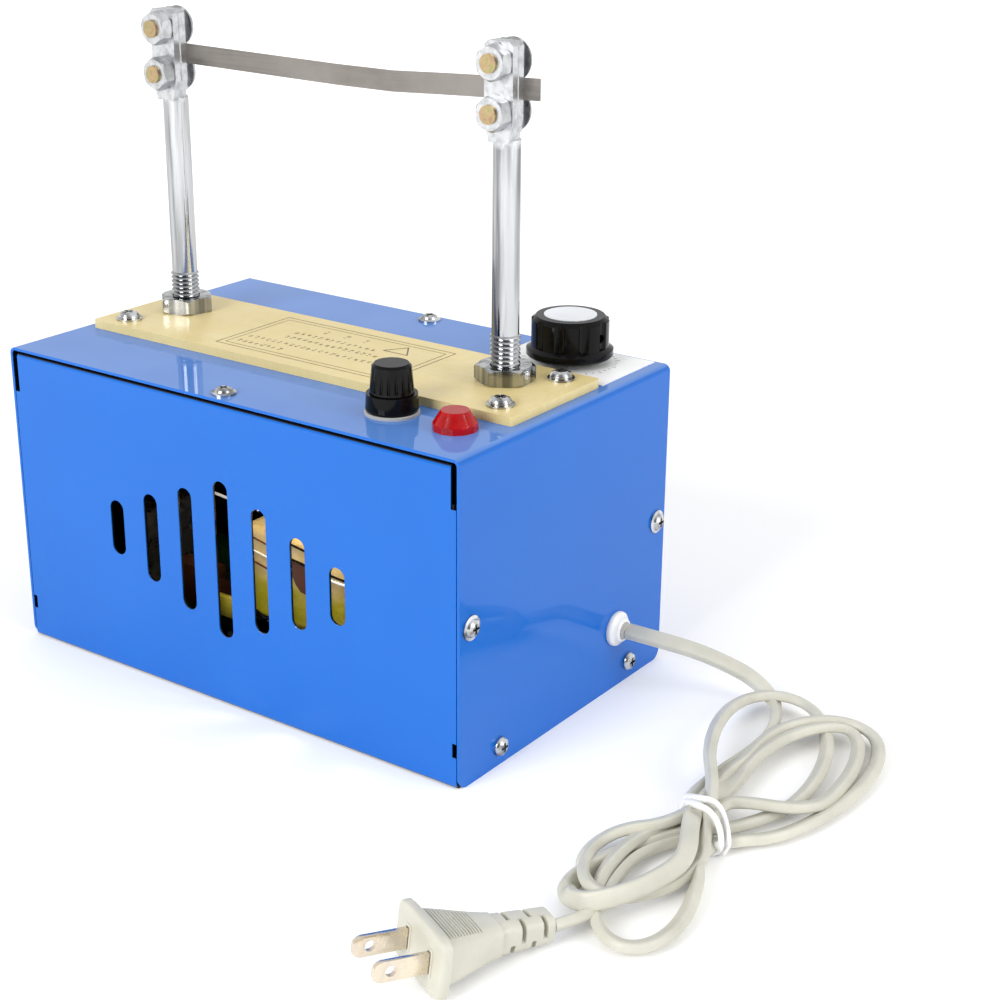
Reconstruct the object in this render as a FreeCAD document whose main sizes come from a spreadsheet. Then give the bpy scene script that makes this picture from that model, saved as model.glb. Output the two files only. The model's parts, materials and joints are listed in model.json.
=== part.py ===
"""Hot blade cutter for ribbon, webbing and rope.

A step-down transformer in a folded sheet-steel box heats a flat blade that is stretched between two
plated posts on an insulating board. Millimetres; +X along the box, -Y the vented front, +Z up; the origin
is at the centre of the box's underside.
"""
import FreeCAD, Part
import math
import os
import Sketcher

V = FreeCAD.Vector
doc = FreeCAD.newDocument("HotBladeCutter")
sheet = doc.addObject("Spreadsheet::Sheet", "Sizes")

SIZES = {
    # the folded box
    "box_length": 195, "box_width": 120, "box_height": 110, "steel": 1.0, "bend": 2.4, "fold_gap": 0.3,
    "flange": 12, "top_flange": 8.5, "flange_low": 16, "flange_high": 94, "notch": 2, "corner": 4,
    "vent_pitch": 16.4, "vent_width": 6.4, "vent_short": 20, "vent_step": 12, "vent_middle": 53.7,
    "side_screw_y": 54.4, "side_screw_z": 54.4, "low_screw_y": 38.6, "low_screw_z": 6.8,
    "top_screw_x": -1.5, "top_screw_y": 54.4,
    "small_head": 3.2, "wide_head": 4.1, "screw_head_height": 2.2, "screw_shank": 1.45, "screw_length": 7,
    # the insulating board and its screws
    "board_length": 184, "board_width": 50, "board_thick": 3, "board_y": -0.8,
    "board_screw_x": 82, "board_screw_y": 17, "board_screw_head": 3.7, "washer_radius": 4.6, "washer_thick": 0.7,
    # the posts, their threads, nuts and clamps
    "left_x": -75, "right_x": 68, "post_y": 4.3, "post_radius": 4.5, "thread_radius": 5, "thread_pitch": 1.5,
    "thread_depth": 0.75, "post_foot": 88, "thread_top": 127.6, "flat_start": 189.6, "flat_full": 196.5,
    "post_top": 220.6, "right_lift": 1.2, "flat_width": 10.8, "flat_front": 4.9, "flat_back": 0.9,
    "groove": 0.5, "nut_flats": 17.5, "nut_height": 5.6,
    "bolt_low": 199.0, "bolt_high": 214.4, "bolt_radius": 3, "bolt_head": 6.8, "bolt_dome": 3.2,
    "small_nut_flats": 10, "small_nut_height": 5, "bolt_proud": 0.9,
    "plate_thick": 1.5, "plate_width": 7.6, "plate_length": 28,
    # the blade
    "blade_width": 6.8, "blade_thick": 0.4, "blade_left": -78, "blade_right": 79.5, "blade_height": 205.5,
    "blade_sag": 1.2, "blade_rise": 1.2,
    # the heat control
    "knob_x": 68, "knob_y": 42.4, "knob_low": 112.6, "skirt_radius": 14.9, "skirt_height": 2.6,
    "knob_radius": 13.3, "knob_top": 126.6, "flute_radius": 2.6, "disc_radius": 9, "disc_thick": 0.6,
    "shaft_radius": 3, "bush_radius": 3.5, "pot_radius": 8.2, "pot_depth": 9, "pot_nut_flats": 11,
    "label_length": 48, "label_width": 33, "label_thick": 0.3,
    # the fuse holder and the lamp
    "fuse_x": 54, "fuse_y": -37, "fuse_radius": 6, "fuse_flange": 8.5, "fuse_flange_height": 5.8,
    "fuse_cap_low": 7.1, "fuse_cap_high": 6.3, "fuse_cap_height": 9.4, "fuse_lift": 34,
    "lamp_x": 79, "lamp_y": -37.4, "lamp_radius": 7.2, "lamp_height": 6.2, "lamp_body": 5,
    # the mains cord, its hank and its plug
    "grommet_y": 30, "grommet_z": 22.6, "grommet_radius": 6.2, "grommet_proud": 5,
    "cord_width": 5.6, "hank_height": 12.5, "waist_x": 172.6, "waist_y": -36.6, "waist_width": 23,
    "waist_length": 12, "waist_height": 9.8, "tie_width": 4, "tie_thick": 0.8,
    "plug_x": 149, "plug_y": -146.9, "plug_z": 9.3, "plug_heading": -116.8, "plug_pitch": -5.5,
    "plug_width": 26, "plug_height": 18, "plug_plate": 3, "grip_length": 19, "relief_length": 18,
    "pin_pitch": 12.7, "pin_length": 16.5, "pin_width": 6.35, "pin_thick": 1.5,
    # the transformer
    "core_x": 32, "core_y": -4, "core_low": 4, "core_length": 86, "core_height": 71, "core_stack": 42,
    "limb": 14.5, "coil_wall": 1.2,
    # the control board
    "dimmer_x": -55, "dimmer_y": -8, "dimmer_z": 10, "dimmer_length": 62, "dimmer_width": 46,
}
for row, (alias, value) in enumerate(SIZES.items(), 1):
    sheet.set(f"A{row}", alias)
    sheet.set(f"B{row}", str(value))
    sheet.setAlias(f"B{row}", alias)
doc.recompute()

SUBPARTS = []
AXIS_TURN = {"Z": (V(0, 0, 1), 0), "Y": (V(1, 0, 0), -90), "-Y": (V(1, 0, 0), 90),
             "X": (V(0, 1, 0), 90), "-X": (V(0, 1, 0), -90), "-Z": (V(1, 0, 0), 180)}


# ---------------------------------------------------------------- helpers
def expr(text):
    """An expression in which every size is looked up in the sheet."""
    out = str(text)
    for alias in sorted(SIZES, key=len, reverse=True):
        out = out.replace("$" + alias, "Sizes." + alias)
    return out


def value(text):
    """The number that an expression gives with the sheet as it stands."""
    result = sheet.evalExpression(expr(text))
    return float(getattr(result, "Value", result))


def bind(obj, prop, text):
    obj.setExpression(prop, expr(text))


def place(obj, at, axis="Z", spin=0):
    """Put obj at a point given by three expressions, its own Z along axis."""
    direction, angle = AXIS_TURN[axis]
    turn = FreeCAD.Rotation(direction, angle).multiply(FreeCAD.Rotation(V(0, 0, 1), spin))
    obj.Placement = FreeCAD.Placement(V(*[value(a) for a in at]), turn)
    for letter, text in zip("xyz", at):
        bind(obj, f"Placement.Base.{letter}", text)
    return obj


def keep(obj, label):
    """Name obj as a sub-part; its label is its file's name."""
    obj.Label = label
    SUBPARTS.append(obj)
    return obj


def cylinder(name, radius, height, at, axis="Z"):
    obj = doc.addObject("Part::Cylinder", name)
    bind(obj, "Radius", radius)
    bind(obj, "Height", height)
    return place(obj, at, axis)


def block(name, size, centre, axis="Z", spin=0):
    """A box whose base is centred on the point."""
    obj = doc.addObject("Part::Box", name)
    for prop, text in zip(("Length", "Width", "Height"), size):
        bind(obj, prop, text)
    corner = [f"({centre[0]}) - ({size[0]})/2", f"({centre[1]}) - ({size[1]})/2", centre[2]]
    return place(obj, corner, axis, spin)


def prism(name, flats, height, at, axis="Z", spin=0):
    obj = doc.addObject("Part::Prism", name)
    obj.Polygon = 6
    bind(obj, "Circumradius", f"({flats}) / sqrt(3)")
    bind(obj, "Height", height)
    return place(obj, at, axis, spin)


def fuse(name, pieces):
    obj = doc.addObject("Part::MultiFuse", name)
    obj.Shapes = pieces
    return obj


def cut(name, base, tool):
    obj = doc.addObject("Part::Cut", name)
    obj.Base = base
    obj.Tool = fuse(name + "Tools", tool) if isinstance(tool, list) else tool
    return obj


def common(name, pieces):
    obj = doc.addObject("Part::MultiCommon", name)
    obj.Shapes = pieces
    return obj


def group(name, pieces):
    obj = doc.addObject("Part::Compound", name)
    obj.Links = pieces
    return obj


def body(name):
    return doc.addObject("PartDesign::Body", name)


def origin_item(owner, role):
    return [item for item in owner.Origin.OriginFeatures if item.Role == role][0]


def sketch(owner, name, plane, lift="0"):
    """An empty sketch on one of the body's own planes, lifted along its normal."""
    obj = owner.newObject("Sketcher::SketchObject", name)
    obj.AttachmentSupport = [(origin_item(owner, plane), "")]
    obj.MapMode = "FlatFace"
    if lift != "0":
        bind(obj, "AttachmentOffset.Base.z", lift)
    return obj


def bound(sk, kind, *args):
    """A constraint whose value follows an expression; the last argument is the expression."""
    *where, text = args
    index = sk.addConstraint(Sketcher.Constraint(kind, *where, value(text)))
    sk.renameConstraint(index, f"c{index}")
    bind(sk, f"Constraints.c{index}", text)


def polygon(sk, corners):
    """A closed outline whose corners are pairs of expressions."""
    spots = [V(value(x), value(y), 0) for x, y in corners]
    lines = [sk.addGeometry(Part.LineSegment(a, b), False) for a, b in zip(spots, spots[1:] + spots[:1])]
    for line, following in zip(lines, lines[1:] + lines[:1]):
        sk.addConstraint(Sketcher.Constraint("Coincident", line, 2, following, 1))
    for line, (x, y) in zip(lines, corners):
        bound(sk, "DistanceX", -1, 1, line, 1, x)
        bound(sk, "DistanceY", -1, 1, line, 1, y)


def rectangle(sk, left, low, right, high):
    polygon(sk, [(left, low), (right, low), (right, high), (left, high)])


def circle(sk, x, y, radius):
    ring = sk.addGeometry(Part.Circle(V(value(x), value(y), 0), V(0, 0, 1), value(radius)), False)
    bound(sk, "Radius", ring, radius)
    bound(sk, "DistanceX", -1, 1, ring, 3, x)
    bound(sk, "DistanceY", -1, 1, ring, 3, y)


def slot(sk, x, low, high, radius):
    """An upright slot with round ends, from low to high."""
    cx, cl, ch, r = value(x), value(f"({low}) + ({radius})"), value(f"({high}) - ({radius})"), value(radius)
    lower = sk.addGeometry(Part.ArcOfCircle(Part.Circle(V(cx, cl, 0), V(0, 0, 1), r), math.pi, 2 * math.pi))
    upper = sk.addGeometry(Part.ArcOfCircle(Part.Circle(V(cx, ch, 0), V(0, 0, 1), r), 0, math.pi))
    right = sk.addGeometry(Part.LineSegment(V(cx + r, cl, 0), V(cx + r, ch, 0)))
    left = sk.addGeometry(Part.LineSegment(V(cx - r, ch, 0), V(cx - r, cl, 0)))
    for first, end, second, start in ((lower, 2, right, 1), (right, 2, upper, 1),
                                      (upper, 2, left, 1), (left, 2, lower, 1)):
        sk.addConstraint(Sketcher.Constraint("Tangent", first, end, second, start))
    for arc, height in ((lower, f"({low}) + ({radius})"), (upper, f"({high}) - ({radius})")):
        bound(sk, "Radius", arc, radius)
        bound(sk, "DistanceX", -1, 1, arc, 3, x)
        bound(sk, "DistanceY", -1, 1, arc, 3, height)


def pad(owner, sk, length, middle=False, back=False):
    obj = owner.newObject("PartDesign::Pad", sk.Name + "Pad")
    obj.Profile = sk
    bind(obj, "Length", length)
    obj.Midplane = middle
    obj.Reversed = back
    return obj


def pocket(owner, sk, depth=None, back=False, middle=False):
    """Cut the sketch out of the body: through everything both ways if no depth is given."""
    before = shape_volume(owner)
    obj = owner.newObject("PartDesign::Pocket", sk.Name + "Cut")
    obj.Profile = sk
    obj.Reversed = back
    obj.Midplane = middle
    if depth is None:
        obj.Type = "ThroughAll"
        obj.Midplane = True
    else:
        bind(obj, "Length", depth)
    doc.recompute()
    if owner.Shape.Volume >= before - 1e-6:
        raise RuntimeError(obj.Name + " cuts nothing")
    return obj


def shape_volume(owner):
    doc.recompute()
    return owner.Shape.Volume


def round_edges(owner, name, radius, wanted):
    """Fillet the edges for which wanted(edge) is true."""
    doc.recompute()
    base = owner.Tip
    names = [f"Edge{i}" for i, edge in enumerate(base.Shape.Edges, 1) if wanted(edge)]
    obj = owner.newObject("PartDesign::Fillet", name)
    obj.Base = (base, names)
    bind(obj, "Radius", radius)
    doc.recompute()
    return obj


def revolve(owner, sk):
    obj = owner.newObject("PartDesign::Revolution", sk.Name + "Turn")
    obj.Profile = sk
    obj.ReferenceAxis = (origin_item(owner, "Z_Axis"), [""])
    obj.Angle = 360
    return obj


def turned(name, outline, at, axis="Z"):
    """A solid of revolution from (radius, height) pairs of expressions."""
    owner = body(name)
    sk = sketch(owner, name + "Outline", "XZ_Plane")
    polygon(sk, outline)
    revolve(owner, sk)
    return place(owner, at, axis)


def along(edge, direction):
    """True for a straight edge along a direction."""
    if edge.Curve.TypeId != "Part::GeomLine":
        return False
    return abs(abs(edge.Curve.Direction.dot(direction)) - 1) < 1e-6


def near(a, b, slack=0.05):
    return abs(a - b) < slack


# ---------------------------------------------------------------- casing
def make_top_cover():
    """Top and both sides of the box, folded from one sheet."""
    cover = body("Cover")
    half, high = "$box_length/2", "$box_height"
    sk = sketch(cover, "CoverFold", "XZ_Plane")
    polygon(sk, [(f"-{half}", "0"), (f"-{half}", high), (half, high), (half, "0"),
                 (f"{half} - $steel", "0"), (f"{half} - $steel", f"{high} - $steel"),
                 (f"-{half} + $steel", f"{high} - $steel"), (f"-{half} + $steel", "0")])
    pad(cover, sk, "$box_width", middle=True)
    outer, inner = value(half), value(f"{half} - $steel")
    top, under = value(high), value(f"{high} - $steel")
    y_way = V(0, 1, 0)
    round_edges(cover, "CoverBends", "$bend", lambda e: along(e, y_way) and near(e.BoundBox.ZMax, top)
                and near(abs(e.BoundBox.XMax), outer))
    round_edges(cover, "CoverInnerBends", "$bend - $steel", lambda e: along(e, y_way)
                and near(e.BoundBox.ZMax, under) and near(abs(e.BoundBox.XMax), inner))
    round_edges(cover, "CoverCorners", "$corner", lambda e: along(e, V(1, 0, 0)) and near(e.BoundBox.ZMax, 0))
    holes = sketch(cover, "CoverHoles", "XY_Plane")
    circle(holes, "$left_x", "$post_y", "$thread_radius + 4")
    circle(holes, "$right_x", "$post_y", "$thread_radius + 4")
    circle(holes, "$knob_x", "$knob_y", "$bush_radius + 0.1")
    circle(holes, "$fuse_x", "$fuse_y", "$fuse_radius + 0.1")
    circle(holes, "$lamp_x", "$lamp_y", "$lamp_body + 0.1")
    for side in ("-", ""):
        circle(holes, "$top_screw_x", f"{side}$top_screw_y", "$screw_shank")
        for end in ("-", ""):
            circle(holes, f"{end}$board_screw_x", f"$board_y + ({side}$board_screw_y)", "$screw_shank")
    pocket(cover, holes)
    side_holes = sketch(cover, "CoverSideHoles", "YZ_Plane")
    for side in ("-", ""):
        circle(side_holes, f"{side}$side_screw_y", "$side_screw_z", "$screw_shank")
        circle(side_holes, f"{side}$low_screw_y", "$low_screw_z", "$screw_shank")
    pocket(cover, side_holes)
    gland = sketch(cover, "CoverCordHole", "YZ_Plane", half)
    circle(gland, "$grommet_y", "$grommet_z", "$grommet_radius - 1.7")
    pocket(cover, gland, "$bend + 2", middle=True)
    return keep(cover, "top_cover")


def make_base_tray():
    """Floor, vented front and back of the box, with the tabs that the cover is screwed to."""
    tray = body("Tray")
    half = "$box_width/2"
    top = "$box_height - $steel - 2 * $fold_gap"
    edge = "$box_length/2 - $steel - $fold_gap"
    sk = sketch(tray, "TrayFold", "YZ_Plane")
    polygon(sk, [(f"-{half}", "0"), (half, "0"), (half, top), (f"{half} - $top_flange", top),
                 (f"{half} - $top_flange", f"{top} - $steel"), (f"{half} - $steel", f"{top} - $steel"),
                 (f"{half} - $steel", "$steel"), (f"-{half} + $steel", "$steel"),
                 (f"-{half} + $steel", f"{top} - $steel"), (f"-{half} + $top_flange", f"{top} - $steel"),
                 (f"-{half} + $top_flange", top), (f"-{half}", top)])
    pad(tray, sk, f"2 * ({edge})", middle=True)
    x_way = V(1, 0, 0)
    outer = value(half)
    round_edges(tray, "TrayBends", "$bend - 0.6", lambda e: along(e, x_way)
                and near(abs(e.BoundBox.YMax), outer))
    for mark, side in (("Left", "-"), ("Right", "")):
        inside = f"{side}({edge} - $steel)"
        outside = f"{side}({edge})"
        tabs = sketch(tray, f"{mark}Tabs", "YZ_Plane", inside)
        for end in ("-", ""):
            walls = [f"{end}({half} - $steel/2)", f"{end}({half} - $flange)"]
            rectangle(tabs, walls[0], "$flange_low", walls[1], "$flange_high")
        pad(tray, tabs, "$steel", back=(side == "-"))
        foot = sketch(tray, f"{mark}FloorTab", "YZ_Plane", inside)
        rectangle(foot, f"-{half} + 10", "$steel/2", f"{half} - 10", "$flange")
        pad(tray, foot, "$steel", back=(side == "-"))
        relief = sketch(tray, f"{mark}Notches", "XZ_Plane")
        rectangle(relief, f"{side}({edge} - $notch)", "$flange_high", f"{side}({edge} + 1)", "$box_height")
        rectangle(relief, f"{side}({edge} - $notch + 0.4)", "$flange - 1", f"{side}({edge} + 1)", "$flange_low")
        pocket(tray, relief)
    for wall, face in (("Front", half), ("Back", f"-{half}")):
        vents = sketch(tray, f"{wall}Vents", "XZ_Plane", face)
        for index in range(-3, 4):
            reach = f"($vent_short + $vent_step * {3 - abs(index)}) / 2"
            slot(vents, f"$vent_pitch * {index}", f"$vent_middle - {reach}", f"$vent_middle + {reach}",
                 "$vent_width / 2")
        pocket(tray, vents, "$steel * 2", middle=True)
    tapped = sketch(tray, "TabHoles", "YZ_Plane")
    for side in ("-", ""):
        circle(tapped, f"{side}$side_screw_y", "$side_screw_z", "$screw_shank")
        circle(tapped, f"{side}$low_screw_y", "$low_screw_z", "$screw_shank")
    pocket(tray, tapped)
    above = sketch(tray, "TopTabHoles", "XY_Plane", "$box_height - 2")
    for side in ("-", ""):
        circle(above, "$top_screw_x", f"{side}$top_screw_y", "$screw_shank")
    pocket(tray, above, "4", middle=True)
    return keep(tray, "base_tray")


def pan_screw(name, at, axis, head="$small_head", length="$screw_length", flange="0"):
    """A cross-recess screw; its seat is at the point, its head points along axis, and the rim of its
    head stands out by flange as a thin washer."""
    rim = f"({head}) + ({flange})"
    solid = turned(name, [("0", f"-({length})"), ("$screw_shank * 0.6", f"-({length})"),
                          ("$screw_shank", f"-({length}) + 1"), ("$screw_shank", "0"), (rim, "0"),
                          (rim, "$screw_head_height * 0.3"), (f"({head}) * 0.98", "$screw_head_height * 0.42"),
                          (f"({head}) * 0.86", "$screw_head_height * 0.75"),
                          (f"({head}) * 0.55", "$screw_head_height"), ("0", "$screw_head_height")], at, axis)
    cross = sketch(solid, name + "Cross", "XY_Plane", "$screw_head_height")
    arm, half = f"({head}) * 0.52", "0.42"
    polygon(cross, [(arm, f"-{half}"), (arm, half), (half, half), (half, arm), (f"-{half}", arm),
                    (f"-{half}", half), (f"-({arm})", half), (f"-({arm})", f"-{half}"), (f"-{half}", f"-{half}"),
                    (f"-{half}", f"-({arm})"), (half, f"-({arm})"), (half, f"-{half}")])
    pocket(solid, cross, "1.3")
    return solid


def make_case_screws():
    """Eight side screws and two top screws."""
    side = []
    for face, axis, sign in (("Right", "X", ""), ("Left", "-X", "-")):
        for end in ("-", ""):
            tag = "Front" if end else "Back"
            at = [f"{sign}$box_length/2", f"{end}$side_screw_y", "$side_screw_z"]
            side.append(pan_screw(f"{face}{tag}Screw", at, axis, flange="$wide_head - $small_head"))
            at = [f"{sign}$box_length/2", f"{end}$low_screw_y", "$low_screw_z"]
            side.append(pan_screw(f"{face}{tag}LowScrew", at, axis))
    keep(group("SideScrews", side), "side_screws")
    top = [pan_screw(f"TopScrew{tag}", ["$top_screw_x", f"{end}$top_screw_y", "$box_height"], "Z",
                     flange="$wide_head - $small_head")
           for tag, end in (("Front", "-"), ("Back", ""))]
    keep(group("TopScrews", top), "top_screws")


# ---------------------------------------------------------------- board, posts and blade
def make_blade_board():
    """Glass-fibre board that carries the posts."""
    board = body("Board")
    sk = sketch(board, "BoardOutline", "XY_Plane", "$box_height")
    rectangle(sk, "-$board_length/2", "$board_y - $board_width/2", "$board_length/2",
              "$board_y + $board_width/2")
    pad(board, sk, "$board_thick")
    round_edges(board, "BoardCorners", "1.2", lambda e: along(e, V(0, 0, 1)))
    holes = sketch(board, "BoardHoles", "XY_Plane", "$box_height")
    for x in ("$left_x", "$right_x"):
        circle(holes, x, "$post_y", "$thread_radius")
    for side in ("-", ""):
        for end in ("-", ""):
            circle(holes, f"{end}$board_screw_x", f"$board_y + ({side}$board_screw_y)", "$screw_shank")
    pocket(board, holes)
    keep(board, "blade_board")
    screws, washers = [], []
    seat = "$box_height + $board_thick"
    for row_tag, side in (("Front", "-"), ("Back", "")):
        for tag, end in (("Left", "-"), ("Right", "")):
            spot = [f"{end}$board_screw_x", f"$board_y + ({side}$board_screw_y)"]
            ring = cylinder(f"Washer{tag}{row_tag}", "$washer_radius", "$washer_thick", spot + [seat])
            hole = cylinder(f"WasherHole{tag}{row_tag}", "$screw_shank", "$washer_thick", spot + [seat])
            washers.append(cut(f"WasherRing{tag}{row_tag}", ring, hole))
            screws.append(pan_screw(f"BoardScrew{tag}{row_tag}", spot + [f"{seat} + $washer_thick"], "Z",
                                    "$board_screw_head", "10"))
    keep(group("BoardScrews", screws), "board_screws")
    keep(group("BoardWashers", washers), "board_washers")


def post_outline():
    """Half section of a post: threaded foot with V grooves above the sheet, then the plain rod."""
    points = [("0", "$post_foot"), ("$thread_radius - 0.8", "$post_foot"), ("$thread_radius", "$post_foot + 0.8")]
    crest, root = "$thread_radius", "$thread_radius - $thread_depth"
    first = "$box_height + $board_thick + 0.4"
    for turn in range(9):
        low = f"{first} + $thread_pitch * {turn}"
        points += [(crest, low), (root, f"{low} + $thread_pitch * 0.5"), (crest, f"{low} + $thread_pitch * 0.9")]
    points += [(crest, "$thread_top - 0.6"), ("$post_radius", "$thread_top")]
    points += [("$post_radius", "$flat_start + 0.6"), ("$post_radius - 1.6", "$flat_start + 2.4"),
               ("0", "$flat_start + 2.4")]
    return points


def make_post(label, x, lift):
    """A plated rod, threaded at its foot and pressed flat and drilled at its top."""
    post = body(label.title().replace("_", ""))
    sk = sketch(post, post.Name + "Rod", "XZ_Plane")
    polygon(sk, post_outline())
    revolve(post, sk)
    flat = sketch(post, post.Name + "Flat", "XZ_Plane", "-$flat_back")
    wide, narrow, bevel = "$flat_width/2", "$post_radius - 0.7", "1.3"
    polygon(flat, [(f"-({narrow})", "$flat_start"), (narrow, "$flat_start"), (wide, "$flat_full"),
                   (wide, f"$post_top - {bevel}"), (f"{wide} - {bevel}", "$post_top"),
                   (f"-{wide} + {bevel}", "$post_top"), (f"-{wide}", f"$post_top - {bevel}"),
                   (f"-{wide}", "$flat_full")])
    pad(post, flat, "$flat_front + $flat_back")
    grooves = sketch(post, post.Name + "Grooves", "XY_Plane", "$flat_full")
    middle = "($flat_back - $flat_front) / 2"
    for side in ("-", ""):
        polygon(grooves, [(f"{side}({wide} + 0.2)", f"{middle} - $groove"),
                          (f"{side}({wide} - $groove)", middle),
                          (f"{side}({wide} + 0.2)", f"{middle} + $groove")])
    pocket(post, grooves, "$post_top - $flat_full + 1", back=True)
    holes = sketch(post, post.Name + "BoltHoles", "XZ_Plane")
    circle(holes, "0", "$bolt_low", "$bolt_radius")
    circle(holes, "0", "$bolt_high", "$bolt_radius")
    pocket(post, holes)
    place(post, [x, "$post_y", lift])
    return keep(post, label)


def hex_nut(name, flats, height, bore, at, axis="Z", spin=0):
    """A hexagon nut chamfered at both ends."""
    hexagon = prism(name + "Hex", flats, height, at, axis, spin)
    corner = f"({flats}) / sqrt(3)"
    rim = turned(name + "Rim", [("0", "0"), (f"({flats})/2", "0"), (corner, f"({height}) * 0.14"),
                                (corner, f"({height}) * 0.86"), (f"({flats})/2", height), ("0", height)], at, axis)
    return cut(name, common(name + "Blank", [hexagon, rim]), cylinder(name + "Bore", bore, height, at, axis))


def make_post_fasteners():
    """Nuts on the board, and the insulating washers, lugs and nuts under the sheet."""
    above, below, washers, lugs = [], [], [], []
    under = "$box_height - $steel"
    for tag, x, spin in (("Left", "$left_x", 18), ("Right", "$right_x", 34)):
        seat = [x, "$post_y", "$box_height + $board_thick"]
        above.append(hex_nut(f"{tag}PostNut", "$nut_flats", "$nut_height", "$thread_radius", seat, spin=spin))
        low = [x, "$post_y", f"{under} - 3"]
        disc = cylinder(f"{tag}Insulator", "11", "3", low)
        collar = cylinder(f"{tag}Collar", "$thread_radius + 3.9", "$steel", [x, "$post_y", under])
        hole = cylinder(f"{tag}InsulatorBore", "$thread_radius", "3 + $steel", low)
        washers.append(cut(f"{tag}InsulatorRing", fuse(f"{tag}InsulatorBlank", [disc, collar]), hole))
        ring = cylinder(f"{tag}LugRing", "8", "1.2", [x, "$post_y", f"{under} - 4.2"])
        tongue = block(f"{tag}LugTongue", ["8", "15", "1.2"], [x, "$post_y + 12", f"{under} - 4.2"])
        bore = cylinder(f"{tag}LugBore", "$thread_radius", "1.2", [x, "$post_y", f"{under} - 4.2"])
        lugs.append(cut(f"{tag}Lug", fuse(f"{tag}LugBlank", [ring, tongue]), bore))
        seat = [x, "$post_y", f"{under} - 4.2 - $nut_height"]
        below.append(hex_nut(f"{tag}LowerNut", "$nut_flats", "$nut_height", "$thread_radius", seat, spin=12))
    keep(group("PostNuts", above), "post_nuts")
    keep(group("PostLowerNuts", below), "post_lower_nuts")
    keep(group("PostInsulators", washers), "post_insulators")
    keep(group("SecondaryLugs", lugs), "secondary_lugs")


def make_clamps():
    """Behind each post's flat: the blade, a clamp plate and two carriage bolts; in front, two nuts."""
    plates, bolts, nuts = [], [], []
    blade_back = "$post_y + $flat_back + $blade_thick"
    head_seat = f"{blade_back} + $plate_thick"
    for tag, x, lift in (("Left", "$left_x", "0"), ("Right", "$right_x", "$right_lift")):
        middle = f"($bolt_low + $bolt_high)/2 + ({lift})"
        plate = block(f"{tag}Plate", ["$plate_width", "$plate_thick", "$plate_length"],
                      [x, f"{blade_back} + $plate_thick/2", f"{middle} - $plate_length/2"])
        holes = []
        for level, height in (("Low", "$bolt_low"), ("High", "$bolt_high")):
            z = f"{height} + ({lift})"
            holes.append(cylinder(f"{tag}{level}PlateHole", "$bolt_radius", "$plate_thick", [x, blade_back, z], "Y"))
            front = "$post_y - $flat_front - $small_nut_height"
            shank = cylinder(f"{tag}{level}Shank", "$bolt_radius", f"{head_seat} - ({front}) + $bolt_proud",
                             [x, f"{front} - $bolt_proud", z], "Y")
            dome = turned(f"{tag}{level}Dome", [("0", "0"), ("$bolt_head", "0"), ("$bolt_head", "0.5"),
                                                ("$bolt_head * 0.93", "1.4"), ("$bolt_head * 0.72", "2.35"),
                                                ("$bolt_head * 0.4", "$bolt_dome * 0.94"), ("0", "$bolt_dome")],
                          [x, head_seat, z], "Y")
            bolts.append(fuse(f"{tag}{level}Bolt", [shank, dome]))
            nuts.append(hex_nut(f"{tag}{level}Nut", "$small_nut_flats", "$small_nut_height", "$bolt_radius",
                                [x, front, z], "Y", 30 if level == "High" else 20))
        plates.append(cut(f"{tag}ClampPlate", plate, holes))
    keep(group("ClampPlates", plates), "clamp_plates")
    keep(group("ClampBolts", bolts), "clamp_bolts")
    keep(group("ClampNuts", nuts), "clamp_nuts")


def make_blade():
    """A resistance ribbon on edge, with the slight sag that heat leaves in it."""
    blade = body("Blade")
    sk = sketch(blade, "BladeOutline", "XZ_Plane", "-$post_y - $flat_back")
    half = "$blade_width/2"
    centre = [("$blade_left", "$blade_height"), ("$left_x + 5", "$blade_height"),
              ("-30", "$blade_height - $blade_sag*0.45"), ("-2", "$blade_height - $blade_sag*0.75"),
              ("22", "$blade_height - $blade_sag*0.7"), ("42", "$blade_height + $blade_rise*0.2"),
              ("$right_x - 6", "$blade_height + $blade_rise"), ("$blade_right", "$blade_height + $blade_rise*1.6")]
    upper = [(x, f"{z} + {half}") for x, z in centre]
    lower = [(x, f"{z} - {half}") for x, z in reversed(centre)]
    polygon(sk, upper + lower)
    pad(blade, sk, "$blade_thick", back=True)
    return keep(blade, "heating_blade")


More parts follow.
